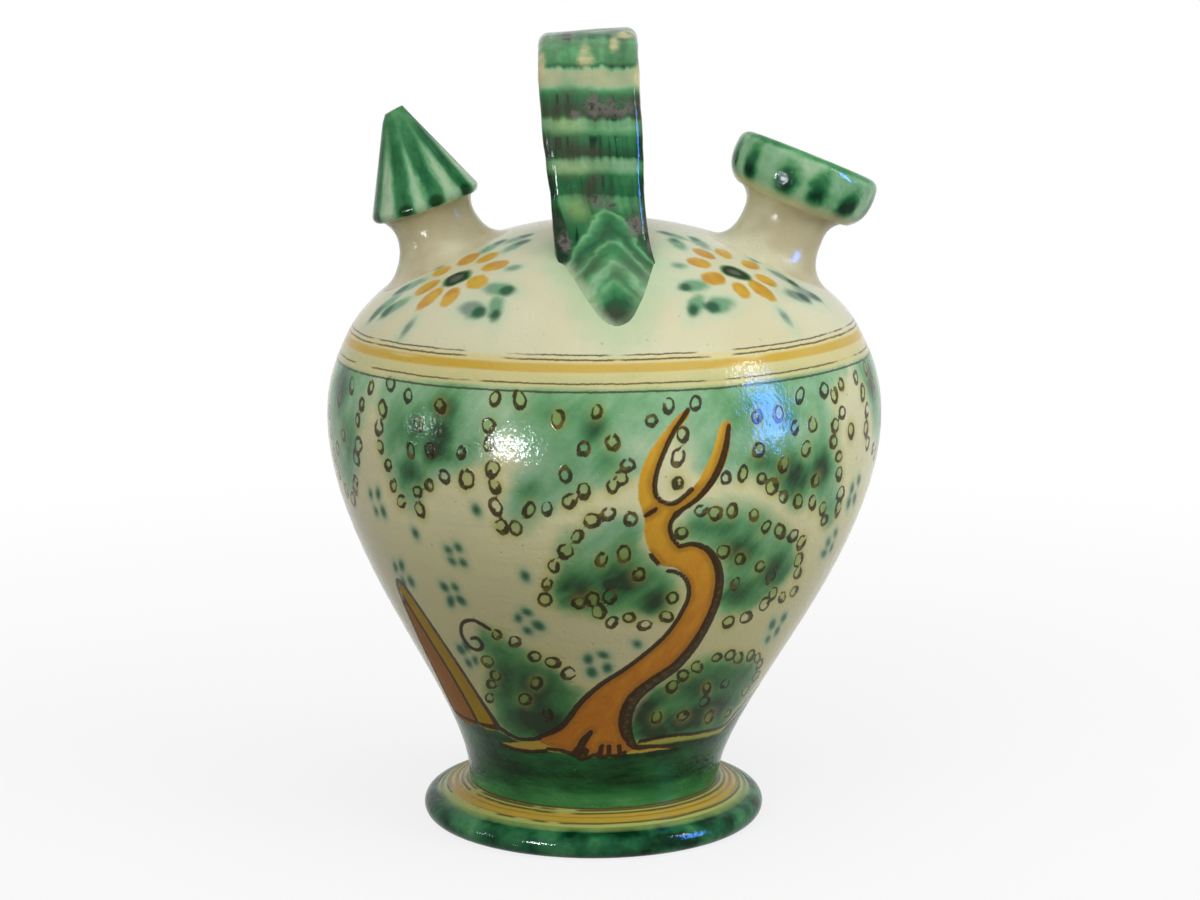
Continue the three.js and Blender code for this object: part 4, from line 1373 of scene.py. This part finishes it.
def build_handle_glaze():
    """The handle: green in bands that ran, cream left bare on its crown, chevrons on its tongues."""
    glaze, bench = new_glaze("handle_glaze")
    across = bench.field("across")
    level = bench.field("level")
    chevron = bench.field("chevron")
    runs_down = bench.node("ShaderNodeCombineXYZ", {}, {0: across * MM, 2: level * (0.10 * MM)})
    streaks = bench.noise(3.0, 2.0, 0.5, runs_down)
    blots = bench.noise(11.0, 3.0, 0.55)
    ragged = bench.noise(5.0, 3.0) - 0.5
    waver = (bench.noise(24.0, 1.0) - 0.5) * 2.0
    band = bench.tones(level + waver * 1.2 + (streaks - 0.5) * 3.4, STRAP_TONES)
    press = bench.tones(chevron + (bench.noise(10.0, 2.0) - 0.5) * 12, CHEVRON_TONES)
    spread = bench.step(chevron + ragged * 3, 38.5, 41.0)
    tone = band + (press - band) * spread
    drips = bench.step(streaks, 0.56, 0.64) * bench.step(band, 0.50, 0.72)
    # green deeper along both edges low down: painted shade where the strap's edges round away
    edge = bench.step(abs(across), 12.5, 17.0) * bench.step(level, 266.0, 240.0)
    thin = bench.field("thin")
    runs = (drips * 0.26 + (streaks - 0.5) * 0.5 + edge * 0.35) * (1 - spread)
    depth = tone + (blots - 0.5) * 0.7 - thin * 0.22 + runs
    colour = bench.mix(green_wash(bench, depth), THIN_GREEN, thin * 0.5)
    faded = bench.step(depth, 0.30, 0.04) * bench.step(level, 262.0, 268.0)
    colour = bench.mix(colour, CROWN_OLIVE, faded * 0.75)
    colour = bench.mix(colour, BLOT_GREY, bench.step(blots, 0.35, 0.70) * 0.30)
    # the purple-grey bloom of copper that was laid on too thick
    crust = bench.noise(2.8, 3.0, 0.6) - 0.5
    torn = 1 + crust * 3.2 + ragged * 2.0 + (streaks - 0.5) * 2.4
    bloom = bench.step(bench.field("bloom") * torn, 0.20, 0.90)
    soot = bench.mix(*SOOT, bench.step(crust, 0.0, 0.16))
    colour = bench.mix(colour, soot, bloom * 0.8)
    frayed = 1 + ragged * 1.6 + crust + (streaks - 0.5) * 1.6
    bare = bench.step(bench.field("bare") * frayed, 0.12, 1.0)
    colour = bench.mix(colour, BARE_CREAM, bare * 0.85)
    # a tongue's edge is rubbed thin, most on its left
    left = bench.step(across, 4.0, -5.0) * 0.7 + 0.2
    worn = bench.step(bench.field("rim") + ragged * 4, 3.8, -0.5)
    colour = bench.mix(colour, GREEN_PALE, worn * left)
    fire(bench, colour, tone * -0.3)
    return glaze


def build_collar_glaze():
    """The filling mouth: pale green with a ring of upright dark dabs, each heaviest low down."""
    glaze, bench = new_glaze("collar_glaze")
    edge = bench.noise(4.0, 3.0) - 0.5
    clouds = bench.noise(9.0, 2.0) - 0.5
    level = bench.field("level")
    dab = bench.step(bench.field("dab") + edge * 0.9, 1.60, 0.35)
    low = bench.step(level, 12.5, 5.0)
    lip = bench.band(bench.field("rim") + edge * 1.5, 0.0, 0.35, 1.0)
    depth = clouds * 0.7 + dab * (low * 0.36 + 0.48) + lip * 0.32 + 0.20
    colour = green_wash(bench, depth)
    foot = bench.step(level + edge * 4, 4.6, 0.4) * 0.85
    bare = bench.maths("MAXIMUM", bench.field("inner"), foot)
    colour = bench.mix(colour, CREAM_WARM, bare)
    fire(bench, colour)
    return glaze


def build_cone_glaze():
    """The drinking spout: green stripes that meet at its tip, each with a dark drop at the skirt."""
    glaze, bench = new_glaze("cone_glaze")
    down = bench.stretched((1.0, 1.0, 6.0), (0.0, math.radians(SPOUT.tilt), 0.0))
    streaks = bench.noise(3.0, 3.0, 0.6, down) - 0.5
    edge = bench.noise(4.0, 3.0) - 0.5
    clouds = bench.noise(9.0, 2.0) - 0.5
    level = bench.field("level")
    narrow = bench.field("stripe") - level * 0.012 + streaks * 1.1 + clouds * 0.5
    gap = bench.step(narrow, 0.04, 0.86) * bench.step(level, 35.0, 14.0)
    paler_tip = bench.step(level, 22.0, 35.0) * 0.16
    depth = clouds * 0.5 + streaks * 0.4 - gap * 0.70 - paler_tip + 0.73
    colour = green_wash(bench, depth)
    drop = bench.step(bench.field("dab") + edge * 0.6, 1.25, 0.55)
    colour = bench.mix(colour, GREEN_DARK, drop * 0.9)
    skirt = bench.step(level + edge * 2.0, 1.2, 0.2)
    colour = bench.mix(colour, SKIRT_CREAM, skirt * (1 - drop) * 0.8)
    colour = bench.mix(colour, CREAM_WARM, bench.field("inner"))
    fire(bench, colour)
    return glaze


def build_foot_glaze():
    """The foot: blotched green rim, and a yellow-green top with turned lines and an ochre ring."""
    glaze, bench = new_glaze("foot_glaze")
    reach = bench.field("reach")
    under = bench.field("under")
    clouds = bench.noise(14.0, 3.0, 0.55)
    pools = bench.step(bench.noise(24.0, 2.0), 0.52, 0.62)
    thin = (bench.noise(14.0, 2.0) - 0.5) * 1.2
    outer = bench.step(reach + thin * 2, 53.0, 57.0)
    top = bench.mix(*SLOPE_TINTS, outer)
    ring = bench.band(reach + thin, 51.0, 1.9, 0.9)
    top = bench.mix(top, SLOPE_OCHRE, ring * 0.9)
    for centre, half in SLOPE_LINES:
        line = bench.band(reach + thin * 0.6, centre, half, 0.4)
        worn = bench.step(bench.noise(20.0, 2.0), 0.40, 0.48)
        top = bench.mix(top, SLOPE_LINE, line * worn * 0.8)
    depth = (clouds - 0.5) * 1.5 + pools * 0.32 + 0.75
    rim = green_wash(bench, depth)
    colour = bench.mix(top, rim, bench.step(reach + thin * 1.5, 55.4, 58.8))
    colour = bench.mix(colour, BARE_CLAY, under)
    fire(bench, colour)
    return glaze


# Pieces


def make_foot(glaze):
    radius, depth, bevel = FOOT_RECESS
    edge = (FOOT_RADIUS - FOOT_EDGE, FOOT_EDGE)
    underside = [(0, depth), (radius, depth), (radius + bevel, 0), (edge[0], 0)]
    slope = bezier(FOOT_SLOPE, 40)
    turned = (slope[:, 0] > TURNED_FROM) * (slope[:, 0] < TURNED_TO)
    waves = np.sin((slope[:, 0] - TURNED_START) * 2 * math.pi / TURNED_PITCH)
    slope[:, 1] += TURNED_DEPTH * waves * turned
    outside = np.concatenate((arc(edge, FOOT_EDGE, -90, 80, 30), slope))
    inside = [slope[-1], (slope[-1, 0], FOOT_SEAT), (0, FOOT_SEAT)]
    piece = throw("foot", underside, outside, inside, (10, 90, 12), 300, glaze, wobble=0.7)
    points = points_of(piece)
    reach = np.hypot(points[:, 0], points[:, 1])
    under = np.clip((BARE_RADIUS - reach) / BARE_FADE, 0, 1)
    set_field(piece, "reach", np.where(points[:, 2] < FOOT_EDGE, FOOT_RADIUS, reach))
    set_field(piece, "under", (points[:, 2] < BARE_HEIGHT) * under)
    low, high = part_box("foot_plate")
    middle = (low + high) / 2
    piece.data.transform(Matrix.Translation((middle.x, middle.y, 0)))
    return piece


def make_belly(glaze):
    base = FOOT_SEAT + BASE_GAP
    inner = beside(belly_outline, WALL)
    inner = inner[inner[:, 1] > base + FLOOR_CURVE]
    inner = inner[inner[:, 1] < seam[-1][1]]
    underside = [(0, base), (WAIST_RADIUS, base), (WAIST_RADIUS, FOOT_TOP)]
    floor = [(inner[0, 0] - FLOOR_EASE, base + FLOOR), (0, base + FLOOR)]
    inside = np.concatenate((seam, inner[::-1], floor))
    clay = {"rib_depth": 0.025, "wobble": 1.1, "lean": FOOT_LEAN}
    piece = throw("belly", underside, belly_outline, inside, (4, 150, 18), 580, glaze, **clay)
    paint_belly(piece)
    return piece


def seat_matrix(neck):
    place = Matrix.Translation((neck.offset * MM, 0, dome_height(abs(neck.offset)) * MM))
    return place @ Matrix.Rotation(math.radians(neck.tilt), 4, "Y")


def make_dome(glaze):
    """The dome closes at its top, so its inside is a shell of its own that meets the underside."""
    inner = beside(dome_outline, WALL)
    inner[-1, 0] = 0
    underside = seam[::-1]
    inside = np.concatenate((inner[::-1], underside[:1]))
    clay = {"rib_depth": 0.06, "wobble": 1.1}
    piece = throw("dome", underside, dome_outline, inside, (8, 96, 30), 480, glaze, **clay)
    for neck in (FILLER, SPOUT):
        drill_hole(piece, seat_matrix(neck), neck.bore + HOLE_ROOM)
    paint_dome(piece)
    return piece


def drill_hole(piece, seat, radius):
    """Takes the bore under a neck out of the dome's wall."""
    drill = bmesh.new()
    reach = 4 * WALL * MM
    size = {"radius1": radius * MM, "radius2": radius * MM, "depth": 2 * reach}
    bmesh.ops.create_cone(drill, cap_ends=True, segments=64, matrix=seat, **size)
    mesh = bpy.data.meshes.new("drill")
    drill.to_mesh(mesh)
    drill.free()
    tool = bpy.data.objects.new("drill", mesh)
    bpy.context.scene.collection.objects.link(tool)
    cut = piece.modifiers.new("bore", "BOOLEAN")
    cut.operation = "DIFFERENCE"
    cut.solver = "EXACT"
    cut.object = tool
    graph = bpy.context.evaluated_depsgraph_get()
    drilled = bpy.data.meshes.new_from_object(piece.evaluated_get(graph))
    piece.modifiers.remove(cut)
    old = piece.data
    piece.data = drilled
    bpy.data.meshes.remove(old)
    bpy.data.objects.remove(tool)
    drilled.shade_smooth()
    drilled.set_sharp_from_angle(angle=math.radians(SHARP))


def make_neck(name, neck, glaze):
    """A neck with the coil of clay that is smeared from its root into the dome."""
    seat = np.array(seat_matrix(neck))
    turn = np.linspace(0, 2 * math.pi, 120, endpoint=False)
    way = np.stack((np.cos(turn), np.sin(turn)), 1)
    wander = 1 + 0.08 * np.sin(2 * turn + 0.7) + 0.06 * np.sin(3 * turn + 2.1)
    top = neck.length + NECK_TUCK

    def placed(reach, rise):
        """Points of one row in the body's frame."""
        bow = neck.bow * np.sin(math.pi * np.clip(rise / neck.length, 0, 1))
        ring = np.c_[way * (reach * np.ones(len(turn)))[:, None], rise * np.ones(len(turn))]
        ring[:, 0] -= math.copysign(1, neck.offset) * bow
        return ring @ seat[:3, :3].T + seat[:3, 3] / MM

    def on_dome(reach):
        """Height of the dome in the neck's own frame, so far from its axis."""
        rise = np.zeros(len(turn))
        for _ in range(30):
            spot = placed(reach, rise)
            rise = rise - 0.9 * (spot[:, 2] - dome_height(np.hypot(spot[:, 0], spot[:, 1])))
        return rise

    def wall(height):
        """The neck's radius, wider under its collar or cone."""
        share = np.clip(1 + (height - neck.length) / FLARE_RISE, 0, 1)
        return neck.radius + neck.flare * share**3

    rows = []
    for rest in np.linspace(1, 0, 30):
        smear = neck.spread * wander * rest**2
        height = on_dome(neck.radius + smear) + neck.coil * (1 - rest) ** 2
        rows.append((wall(height) + smear, height))
    toe, low = rows[0]
    coil_top = rows[-1][1]
    for share in np.linspace(0, 1, 9)[1:]:
        height = coil_top + (top - coil_top) * share
        rows.append((wall(height), height))
    spigot = neck.radius - SOCKET_WALL - SPIGOT_PLAY
    spigot_end = neck.length + SPIGOT
    rows += [(spigot, height) for height in (top, spigot_end)]
    rows += [(neck.bore, height) for height in np.linspace(spigot_end, -1.25 * WALL, 8)]
    rows += [(toe - inwards, low - down) for inwards, down in COIL_TOE]
    return grid_piece(name, np.stack([placed(*row) for row in rows]), glaze, closed_rows=True)


def local_spots(piece):
    """Angle from the front, height and radius of a thrown piece's points, before it is tilted."""
    points = points_of(piece)
    angle = np.degrees(np.arctan2(points[:, 0], -points[:, 1]))
    return angle, points[:, 2], np.hypot(points[:, 0], points[:, 1])


def set_on_neck(piece, neck):
    """Moves a piece that was thrown on its own onto the end of its neck."""
    piece.data.transform(seat_matrix(neck) @ Matrix.Translation((0, 0, neck.length * MM)))


def socket_underside(neck, edge):
    """The underside of a piece that is pushed over a neck: its chamfered socket, then out to its edge."""
    socket = neck.radius - SOCKET_WALL
    wide, tall = SOCKET_CHAMFER
    return [(socket, SPIGOT_TOP), (socket, tall), (socket + wide, 0), (edge, 0)]


def make_collar(glaze):
    undercut = COLLAR_RADIUS - COLLAR_UNDERCUT
    low = COLLAR_HEIGHT - COLLAR_ROUND
    widest = COLLAR_RADIUS + COLLAR_BULGE
    bulge = bezier(((undercut, 0), (COLLAR_RADIUS, 3), (widest, 9), (COLLAR_RADIUS, low)), 40)
    crown = arc((COLLAR_RADIUS - COLLAR_ROUND, low), COLLAR_ROUND, 0, 90)
    roll = arc((COLLAR_MOUTH + COLLAR_ROLL, COLLAR_HEIGHT - COLLAR_ROLL), COLLAR_ROLL, 90, 180)
    underside = socket_underside(FILLER, undercut)
    outside = np.concatenate((bulge, crown[1:], roll[1:]))
    inside = [roll[-1], *COLLAR_THROAT, (FILLER.bore, SPIGOT_TOP), underside[0]]
    piece = throw("collar", underside, outside, inside, (14, 90, 50), 220, glaze, wobble=0.9)
    angle, height, reach = local_spots(piece)
    random = np.random.default_rng(SEED)
    dab = np.full(len(angle), FAR)
    for number in range(COLLAR_DABS):
        place = angle - 360 / COLLAR_DABS * number - FIRST_DAB
        turn = signed(place - random.uniform(-3, 3))
        across = np.radians(turn) * reach / (3.5 * random.uniform(0.85, 1.2))
        up = (height - random.uniform(7.6, 9.8)) / random.uniform(5.4, 7.4)
        dab = np.minimum(dab, np.hypot(across, up))
    set_field(piece, "dab", np.where(reach > COLLAR_MOUTH + COLLAR_ROLL, dab, FAR))
    set_field(piece, "level", height)
    set_field(piece, "rim", np.where(height > low - 1, reach - (COLLAR_RADIUS - 1.6), FAR))
    set_field(piece, "inner", np.clip((COLLAR_MOUTH + 1.0 - reach) / 1.5, 0, 1))
    points = points_of(piece)
    rise = np.clip((height - SPIGOT_TOP) / (COLLAR_HEIGHT - SPIGOT_TOP), 0, 1)
    points[:, 2] -= COLLAR_LIFT * rise * points[:, 1] / COLLAR_RADIUS
    move_points(piece, points)
    set_on_neck(piece, FILLER)
    return piece


def make_cone(glaze):
    shoulder = CONE_HEIGHT - CONE_SHOULDER
    skirt = arc((CONE_RADIUS - CONE_ROLL, CONE_ROLL), CONE_ROLL, -90, 20)
    flank = bezier((skirt[-1], *CONE_FLANK, (CONE_TIP, shoulder)), 40)
    over = ((3.6, CONE_HEIGHT), (2.9, CONE_HEIGHT + 0.1), (DRINK_BORE, shoulder - 0.1))
    tip = bezier(((CONE_TIP, shoulder), *over), 10)
    underside = socket_underside(SPOUT, CONE_RADIUS - CONE_ROLL)
    outside = np.concatenate((skirt, flank[1:], tip[1:]))
    funnel = [(DRINK_BORE, CONE_HEIGHT - 2 * CONE_TIP), (SPOUT.bore, SPIGOT_TOP + 2)]
    inside = [tip[-1], *funnel, (SPOUT.bore, SPIGOT_TOP), underside[0]]
    piece = throw("cone", underside, outside, inside, (14, 110, 40), 220, glaze, wobble=0.8)
    angle, height, reach = local_spots(piece)
    random = np.random.default_rng(SEED + 1)
    stripe = np.full(len(angle), FAR)
    drop = np.full(len(angle), FAR)
    for number in range(CONE_STRIPES):
        place = angle - 360 / CONE_STRIPES * number - FIRST_STRIPE
        turn = signed(place - random.uniform(-4, 4))
        stripe = np.minimum(stripe, np.abs(turn) / (180 / CONE_STRIPES))
        across = np.radians(turn) * reach / DROP_HALF_WIDTH
        drop = np.minimum(drop, np.hypot(across, (height - DROP_LEVEL) / DROP_HALF_HEIGHT))
    outer = reach > np.interp(height, outside[:, 1], outside[:, 0]) - 1.2
    set_field(piece, "stripe", stripe)
    set_field(piece, "dab", np.where(outer, drop, FAR))
    set_field(piece, "level", height)
    set_field(piece, "inner", ~outer)
    # the tip is chipped lower on its outer side
    points = points_of(piece)
    near_tip = np.clip((height - CONE_HEIGHT + CHIP_REACH) / CHIP_REACH, 0, 1)
    chipped = near_tip * np.clip(0.5 - points[:, 0] / (2 * CONE_TIP), 0, 1)
    points[:, 2] -= CHIP_DEPTH * chipped
    move_points(piece, points)
    set_on_neck(piece, SPOUT)
    return piece


def strap_line():
    """The strap's middle line from its front root over the crown to its rear root."""
    root = dome_height(STRAP_ROOT) - STRAP_SINK
    crown = STRAP_CROWN - STRAP_THICKNESS / 2
    swing = root + STRAP_SINK + STRAP_RISE
    halves = []
    for side in (-1, 1):
        ends = (
            (STRAP_ROOT_SHIFT, side * STRAP_ROOT, root),
            (-STRAP_SWAY, side * (STRAP_ROOT + STRAP_BULGE), swing),
            (-STRAP_LEAN, side * STRAP_REACH, crown),
            (-STRAP_LEAN, 0, crown),
        )
        halves.append(bezier(ends, 120))
    line = np.concatenate((halves[0], halves[1][::-1][1:]))
    return line[line[:, 2] > root + STRAP_SINK - STRAP_KEPT_SINK]


def strap_front():
    """The front half of that line, from its root to the crown."""
    line = strap_line()
    return line[: len(line) // 2]


def set_handle_fields(piece, across, height):
    """Keeps what the strap and its tongues share: places across and up, bare, bloomed and thin spots."""
    set_field(piece, "across", across)
    set_field(piece, "level", height)
    set_field(piece, "bare", soft_spots(across, height, BARE_PATCHES))
    set_field(piece, "bloom", soft_spots(across, height, BLOOMS))
    set_field(piece, "thin", soft_spots(across, height, THIN_PATCHES))


def make_strap(glaze):
    sizes = {
        "Steps": 220,
        "Width": STRAP_WIDTH * MM,
        "Thickness": STRAP_THICKNESS * MM,
        "Edge": STRAP_EDGE * MM,
        "Crown": 0.5 * MM,
        "Tilt": math.tan(math.radians(STRAP_TILT)),
        "Taper": 0.16,
        "Finger marks": 0.9 * MM,
    }
    piece = shaped("strap", [strap_line()], pulled_strap, sizes, glaze)
    points = points_of(piece)
    front = strap_front()
    middle = np.interp(points[:, 2], front[:, 2], front[:, 0])
    set_handle_fields(piece, points[:, 0] - middle, points[:, 2])
    set_field(piece, "rim", np.full(len(points), FAR))
    return piece


TONGUE_HALF_WIDTHS = (
    (36, 16.4), (42, 16.2), (46, 16.4), (50, 16.6), (58, 14.3), (65, 12.3), (70, 10.6), (75, 8.4),
    (78, 6.8), (80, 5.2), (81.2, 3.6), (TONGUE_TIP, 1.0),
)


def tongue_half_width(reach):
    return np.interp(reach, *np.array(TONGUE_HALF_WIDTHS).T)


def tongue_middle(reach, front):
    """Where the tongue's middle lies: it starts under the strap and swings aside to its tip."""
    root = TONGUE_START * front
    share = np.clip((reach - TONGUE_ROOT) / (TONGUE_TIP - TONGUE_ROOT), 0, 1)
    return root + (TONGUE_SHIFT - root) * share**0.55


def tongue_outline(front):
    """The leaf that the strap's end is smeared into, seen from above: x, and reach from the axis."""
    reach = np.linspace(TONGUE_HALF_WIDTHS[0][0], TONGUE_TIP, 24)
    middle = tongue_middle(reach, front)
    left = np.c_[middle - tongue_half_width(reach), reach]
    right = np.c_[middle + tongue_half_width(reach), reach]
    return np.concatenate((left, right[::-1]))


# How far the tongue stands proud of the strap's face, by height, and its thickness on the dome, by reach
TONGUE_ON_STRAP = ((252, -0.9), (247, -0.3), (242, 0.1), (236, 0.3), (230, 0.9))
TONGUE_ON_DOME = ((45.8, 9.6), (49.5, 6.8), (55, 5.4), (62, 4.4), (70, 3.3), (77, 2.0), (TONGUE_TIP, 0.3))


def tongue_ridge():
    """The tongue's middle line, reach and height, and how far aside the strap lies along it."""
    front = strap_front()
    face = beside(np.c_[-front[:, 1], front[:, 2]], -STRAP_THICKNESS / 2 - 0.5)
    on_strap = [(np.interp(z, face[:, 1], face[:, 0]) + proud, z) for z, proud in TONGUE_ON_STRAP]
    on_dome = [(reach, dome_height(reach) + thick) for reach, thick in TONGUE_ON_DOME]
    ridge = smooth_line(on_strap + on_dome, steps=7)
    aside = np.interp(ridge[:, 1], front[:, 2], front[:, 0])
    return ridge, aside


def make_tongue(name, front, glaze):
    """An end of the strap, pressed out over the dome. Front is 1, or -1 for the rear one."""
    ridge, strap_middle = tongue_ridge()
    outwards = beside(ridge, 1.0) - ridge
    side = np.sin(np.linspace(-math.pi / 2, math.pi / 2, 57))
    past_edge = np.abs(side) * STRAP_WIDTH / 2 - STRAP_WIDTH / 2 + STRAP_EDGE
    corner = np.clip(past_edge / STRAP_EDGE, 0, 1)
    rounding = STRAP_EDGE * (1 - np.sqrt(1 - corner**2)) + 0.5 * side**2
    leaf = (1 - np.abs(side) ** 2.4) ** 1.2
    loops = []
    for (reach, height), (out, up), middle in zip(ridge, outwards, strap_middle * front):
        spread = np.clip((reach - TONGUE_LEAVES) / TONGUE_EASE, 0, 1)
        spread = spread * spread * (3 - 2 * spread)
        half = tongue_half_width(reach)
        x = (1 - spread) * middle + spread * tongue_middle(reach, front) + half * side
        on_strap = np.c_[reach - out * rounding, height - up * rounding]
        dome = dome_height(np.hypot(x, reach))
        thick = height - dome_height(reach)
        on_dome = np.c_[np.full(len(x), reach), dome + thick * leaf - TONGUE_EDGE_SINK * (1 - leaf)]
        top = (1 - spread) * on_strap + spread * on_dome
        below = top - np.array((out, up)) * TONGUE_DEPTH
        sunk = np.c_[np.full(len(x), reach), dome - TONGUE_SINK]
        under = (1 - spread) * below + spread * sunk
        loop = np.concatenate((np.c_[x, top], np.c_[x, under][::-1][1:-1]))
        loops.append(loop * (1, -1, 1))
    piece = grid_piece(name, np.array(loops), glaze, closed_rows=False, sharp=60)
    points = points_of(piece)
    reach = -points[:, 1]
    height = points[:, 2]
    across = points[:, 0] - tongue_middle(reach, front)
    along = np.where(height > CHEVRON_TOP, CHEVRON_REACH - (height - CHEVRON_TOP) * 0.4, reach)
    set_field(piece, "chevron", along - np.where(across < 0, *CHEVRON_SLOPES) * np.abs(across))
    rim = (tongue_half_width(reach) - np.abs(across)) * 0.8
    set_field(piece, "rim", rim + np.clip(54 - reach, 0, 20))
    on_strap = np.clip((height - 222) / 8, 0, 1)
    strap = strap_front()
    straight = points[:, 0] - front * np.interp(height, strap[:, 2], strap[:, 0])
    set_handle_fields(piece, across + on_strap * (straight - across), height)
    piece.data.transform(Matrix.Rotation(0 if front > 0 else math.pi, 4, "Z"))
    return piece


# Stage

# Light sources: name, place, aim, size, power, colour, and whether it is only mirrored in the glaze
POT_MIDDLE = (0, 0, 0.16)
BLUE_SKY = (0.09, 0.26, 1.0)
WARM_SKY = (1.0, 0.97, 0.88)
PALE_SKY = (0.90, 0.95, 1.0)
LAMPS = (
    ("overhead", (0.1, -0.35, 1.75), POT_MIDDLE, (1.5, 1.2), 8.3, (1.0, 0.985, 0.95), False),
    ("front_fill", (-0.85, -1.70, 1.0), POT_MIDDLE, (1.4, 1.1), 16.0, (1.0, 0.99, 0.97), False),
    ("side_fill", (1.5, -0.7, 0.5), POT_MIDDLE, (0.9, 0.9), 14.0, (0.94, 0.97, 1.0), False),
    ("right_window", (1.40, -0.52, 0.38), (0.05, -0.08, 0.16), (0.34, 1.0), 150.0, BLUE_SKY, True),
    ("right_skylight", (1.20, -0.47, 0.98), (0.05, -0.08, 0.18), (0.24, 0.12), 9.0, WARM_SKY, True),
    ("left_window", (-0.477, -0.67, 0.125), (-0.03, -0.09, 0.155), (0.18, 0.14), 17.0, PALE_SKY, True),
    ("far_window", (-1.515, -0.35, 0.20), (-0.06, -0.08, 0.155), (0.14, 0.20), 6.0, PALE_SKY, True),
)
CAMERA_PLACE = (-0.0016, -1.075, 0.3301)
CAMERA_TILT = math.radians(79.74)
CAMERA_LENS = 90.24
WHITE = (1, 1, 1, 1)
PAPER_WHITE = (0.9, 0.9, 0.9, 1)
PAPER_SHADE = (0.10, 0.10, 0.098, 1)  # what the pot gathers from the paper
ROOM_SHADE = (0.97, 0.98, 1.0, 1)  # what it gathers from the room
FLOOR_HALF = 15.0


def make_stage():
    floor_mesh = bpy.data.meshes.new("floor")
    half = FLOOR_HALF
    corners = [(-half, -half, 0), (half, -half, 0), (half, half, 0), (-half, half, 0)]
    floor_mesh.from_pydata(corners, [], [(0, 1, 2, 3)])
    floor = bpy.data.objects.new("floor", floor_mesh)
    bpy.context.scene.collection.objects.link(floor)
    paper, bench = new_glaze("studio_paper")
    gathered = bench.node("ShaderNodeBsdfDiffuse", {}, {"Color": PAPER_SHADE})
    matt = bench.node("ShaderNodeBsdfDiffuse", {}, {"Color": PAPER_WHITE})
    white = bench.node("ShaderNodeEmission", {}, {"Color": WHITE, "Strength": 1.0})
    away = bench.node("ShaderNodeVectorMath", {"operation": "LENGTH"}, {0: bench.place()}, "Value")
    fade = bench.step(away, 0.05, 0.75) * 0.2 + 0.8
    shown = bench.node("ShaderNodeMixShader", {}, {0: fade, 1: matt, 2: white})
    shader = bench.node("ShaderNodeMixShader", {}, {0: bench.seen(), 1: gathered, 2: shown})
    bench.node("ShaderNodeOutputMaterial", {}, {"Surface": shader})
    floor_mesh.materials.append(paper)


def make_world():
    world = bpy.data.worlds.new("studio")
    bpy.context.scene.world = world
    world.use_nodes = True
    world.node_tree.nodes.clear()
    bench = Bench(world.node_tree)
    shade = bench.node("ShaderNodeBackground", {}, {"Color": ROOM_SHADE, "Strength": 0.30})
    white = bench.node("ShaderNodeBackground", {}, {"Color": WHITE, "Strength": 1.0})
    light = bench.node("ShaderNodeMixShader", {}, {0: bench.seen(), 1: shade, 2: white})
    bench.node("ShaderNodeOutputWorld", {}, {"Surface": light})


def hang_lamp(name, place, aim, size, power, colour, mirrored):
    """A soft lamp that either lights the pot or is only mirrored in its glaze."""
    data = bpy.data.lights.new(name, "AREA")
    data.shape = "RECTANGLE"
    data.size, data.size_y = size
    data.energy = power
    data.color = colour
    lamp = bpy.data.objects.new(name, data)
    lamp.location = place
    lamp.rotation_euler = (Vector(aim) - Vector(place)).to_track_quat("-Z", "Y").to_euler()
    lamp.visible_camera = False
    lamp.visible_glossy = mirrored
    lamp.visible_diffuse = not mirrored
    bpy.context.scene.collection.objects.link(lamp)


def make_camera():
    data = bpy.data.cameras.new("camera")
    data.lens = CAMERA_LENS
    data.sensor_width = 36.0
    data.clip_end = 60.0
    camera = bpy.data.objects.new("camera", data)
    camera.location = CAMERA_PLACE
    camera.rotation_euler = (CAMERA_TILT, 0, 0)
    bpy.context.scene.collection.objects.link(camera)
    bpy.context.scene.camera = camera


def settle(piece, slot, *nodes):
    """The piece rides on the pitcher and stands for its solids, which are hidden."""
    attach(piece, "root")
    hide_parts(*nodes)


make_camera()
make_stage()
make_world()
for lamp in LAMPS:
    hang_lamp(*lamp)

cream_glaze = build_neck_glaze()
handle_glaze = build_handle_glaze()

settle(make_foot(build_foot_glaze()), "green_glaze", "foot_plate")
settle(make_belly(build_painted_glaze()), "painted_glaze", "belly")
settle(make_dome(build_dome_glaze()), "cream_glaze", "shoulder_dome")
settle(make_neck("filling_neck", FILLER, cream_glaze), "cream_glaze", "filler_neck", "filler_luting_coil")
settle(make_neck("drinking_neck", SPOUT, cream_glaze), "cream_glaze", "spout_neck", "spout_luting_coil")
settle(make_collar(build_collar_glaze()), "green_glaze", "filler_collar")
settle(make_cone(build_cone_glaze()), "green_glaze", "spout_cone")
settle(make_strap(handle_glaze), "green_glaze", "handle_strap")
settle(make_tongue("front_tongue", 1, handle_glaze), "green_glaze", "handle_tongue_front")
settle(make_tongue("rear_tongue", -1, handle_glaze), "green_glaze", "handle_tongue_rear")

bpy.context.scene.view_settings.view_transform = "Standard"
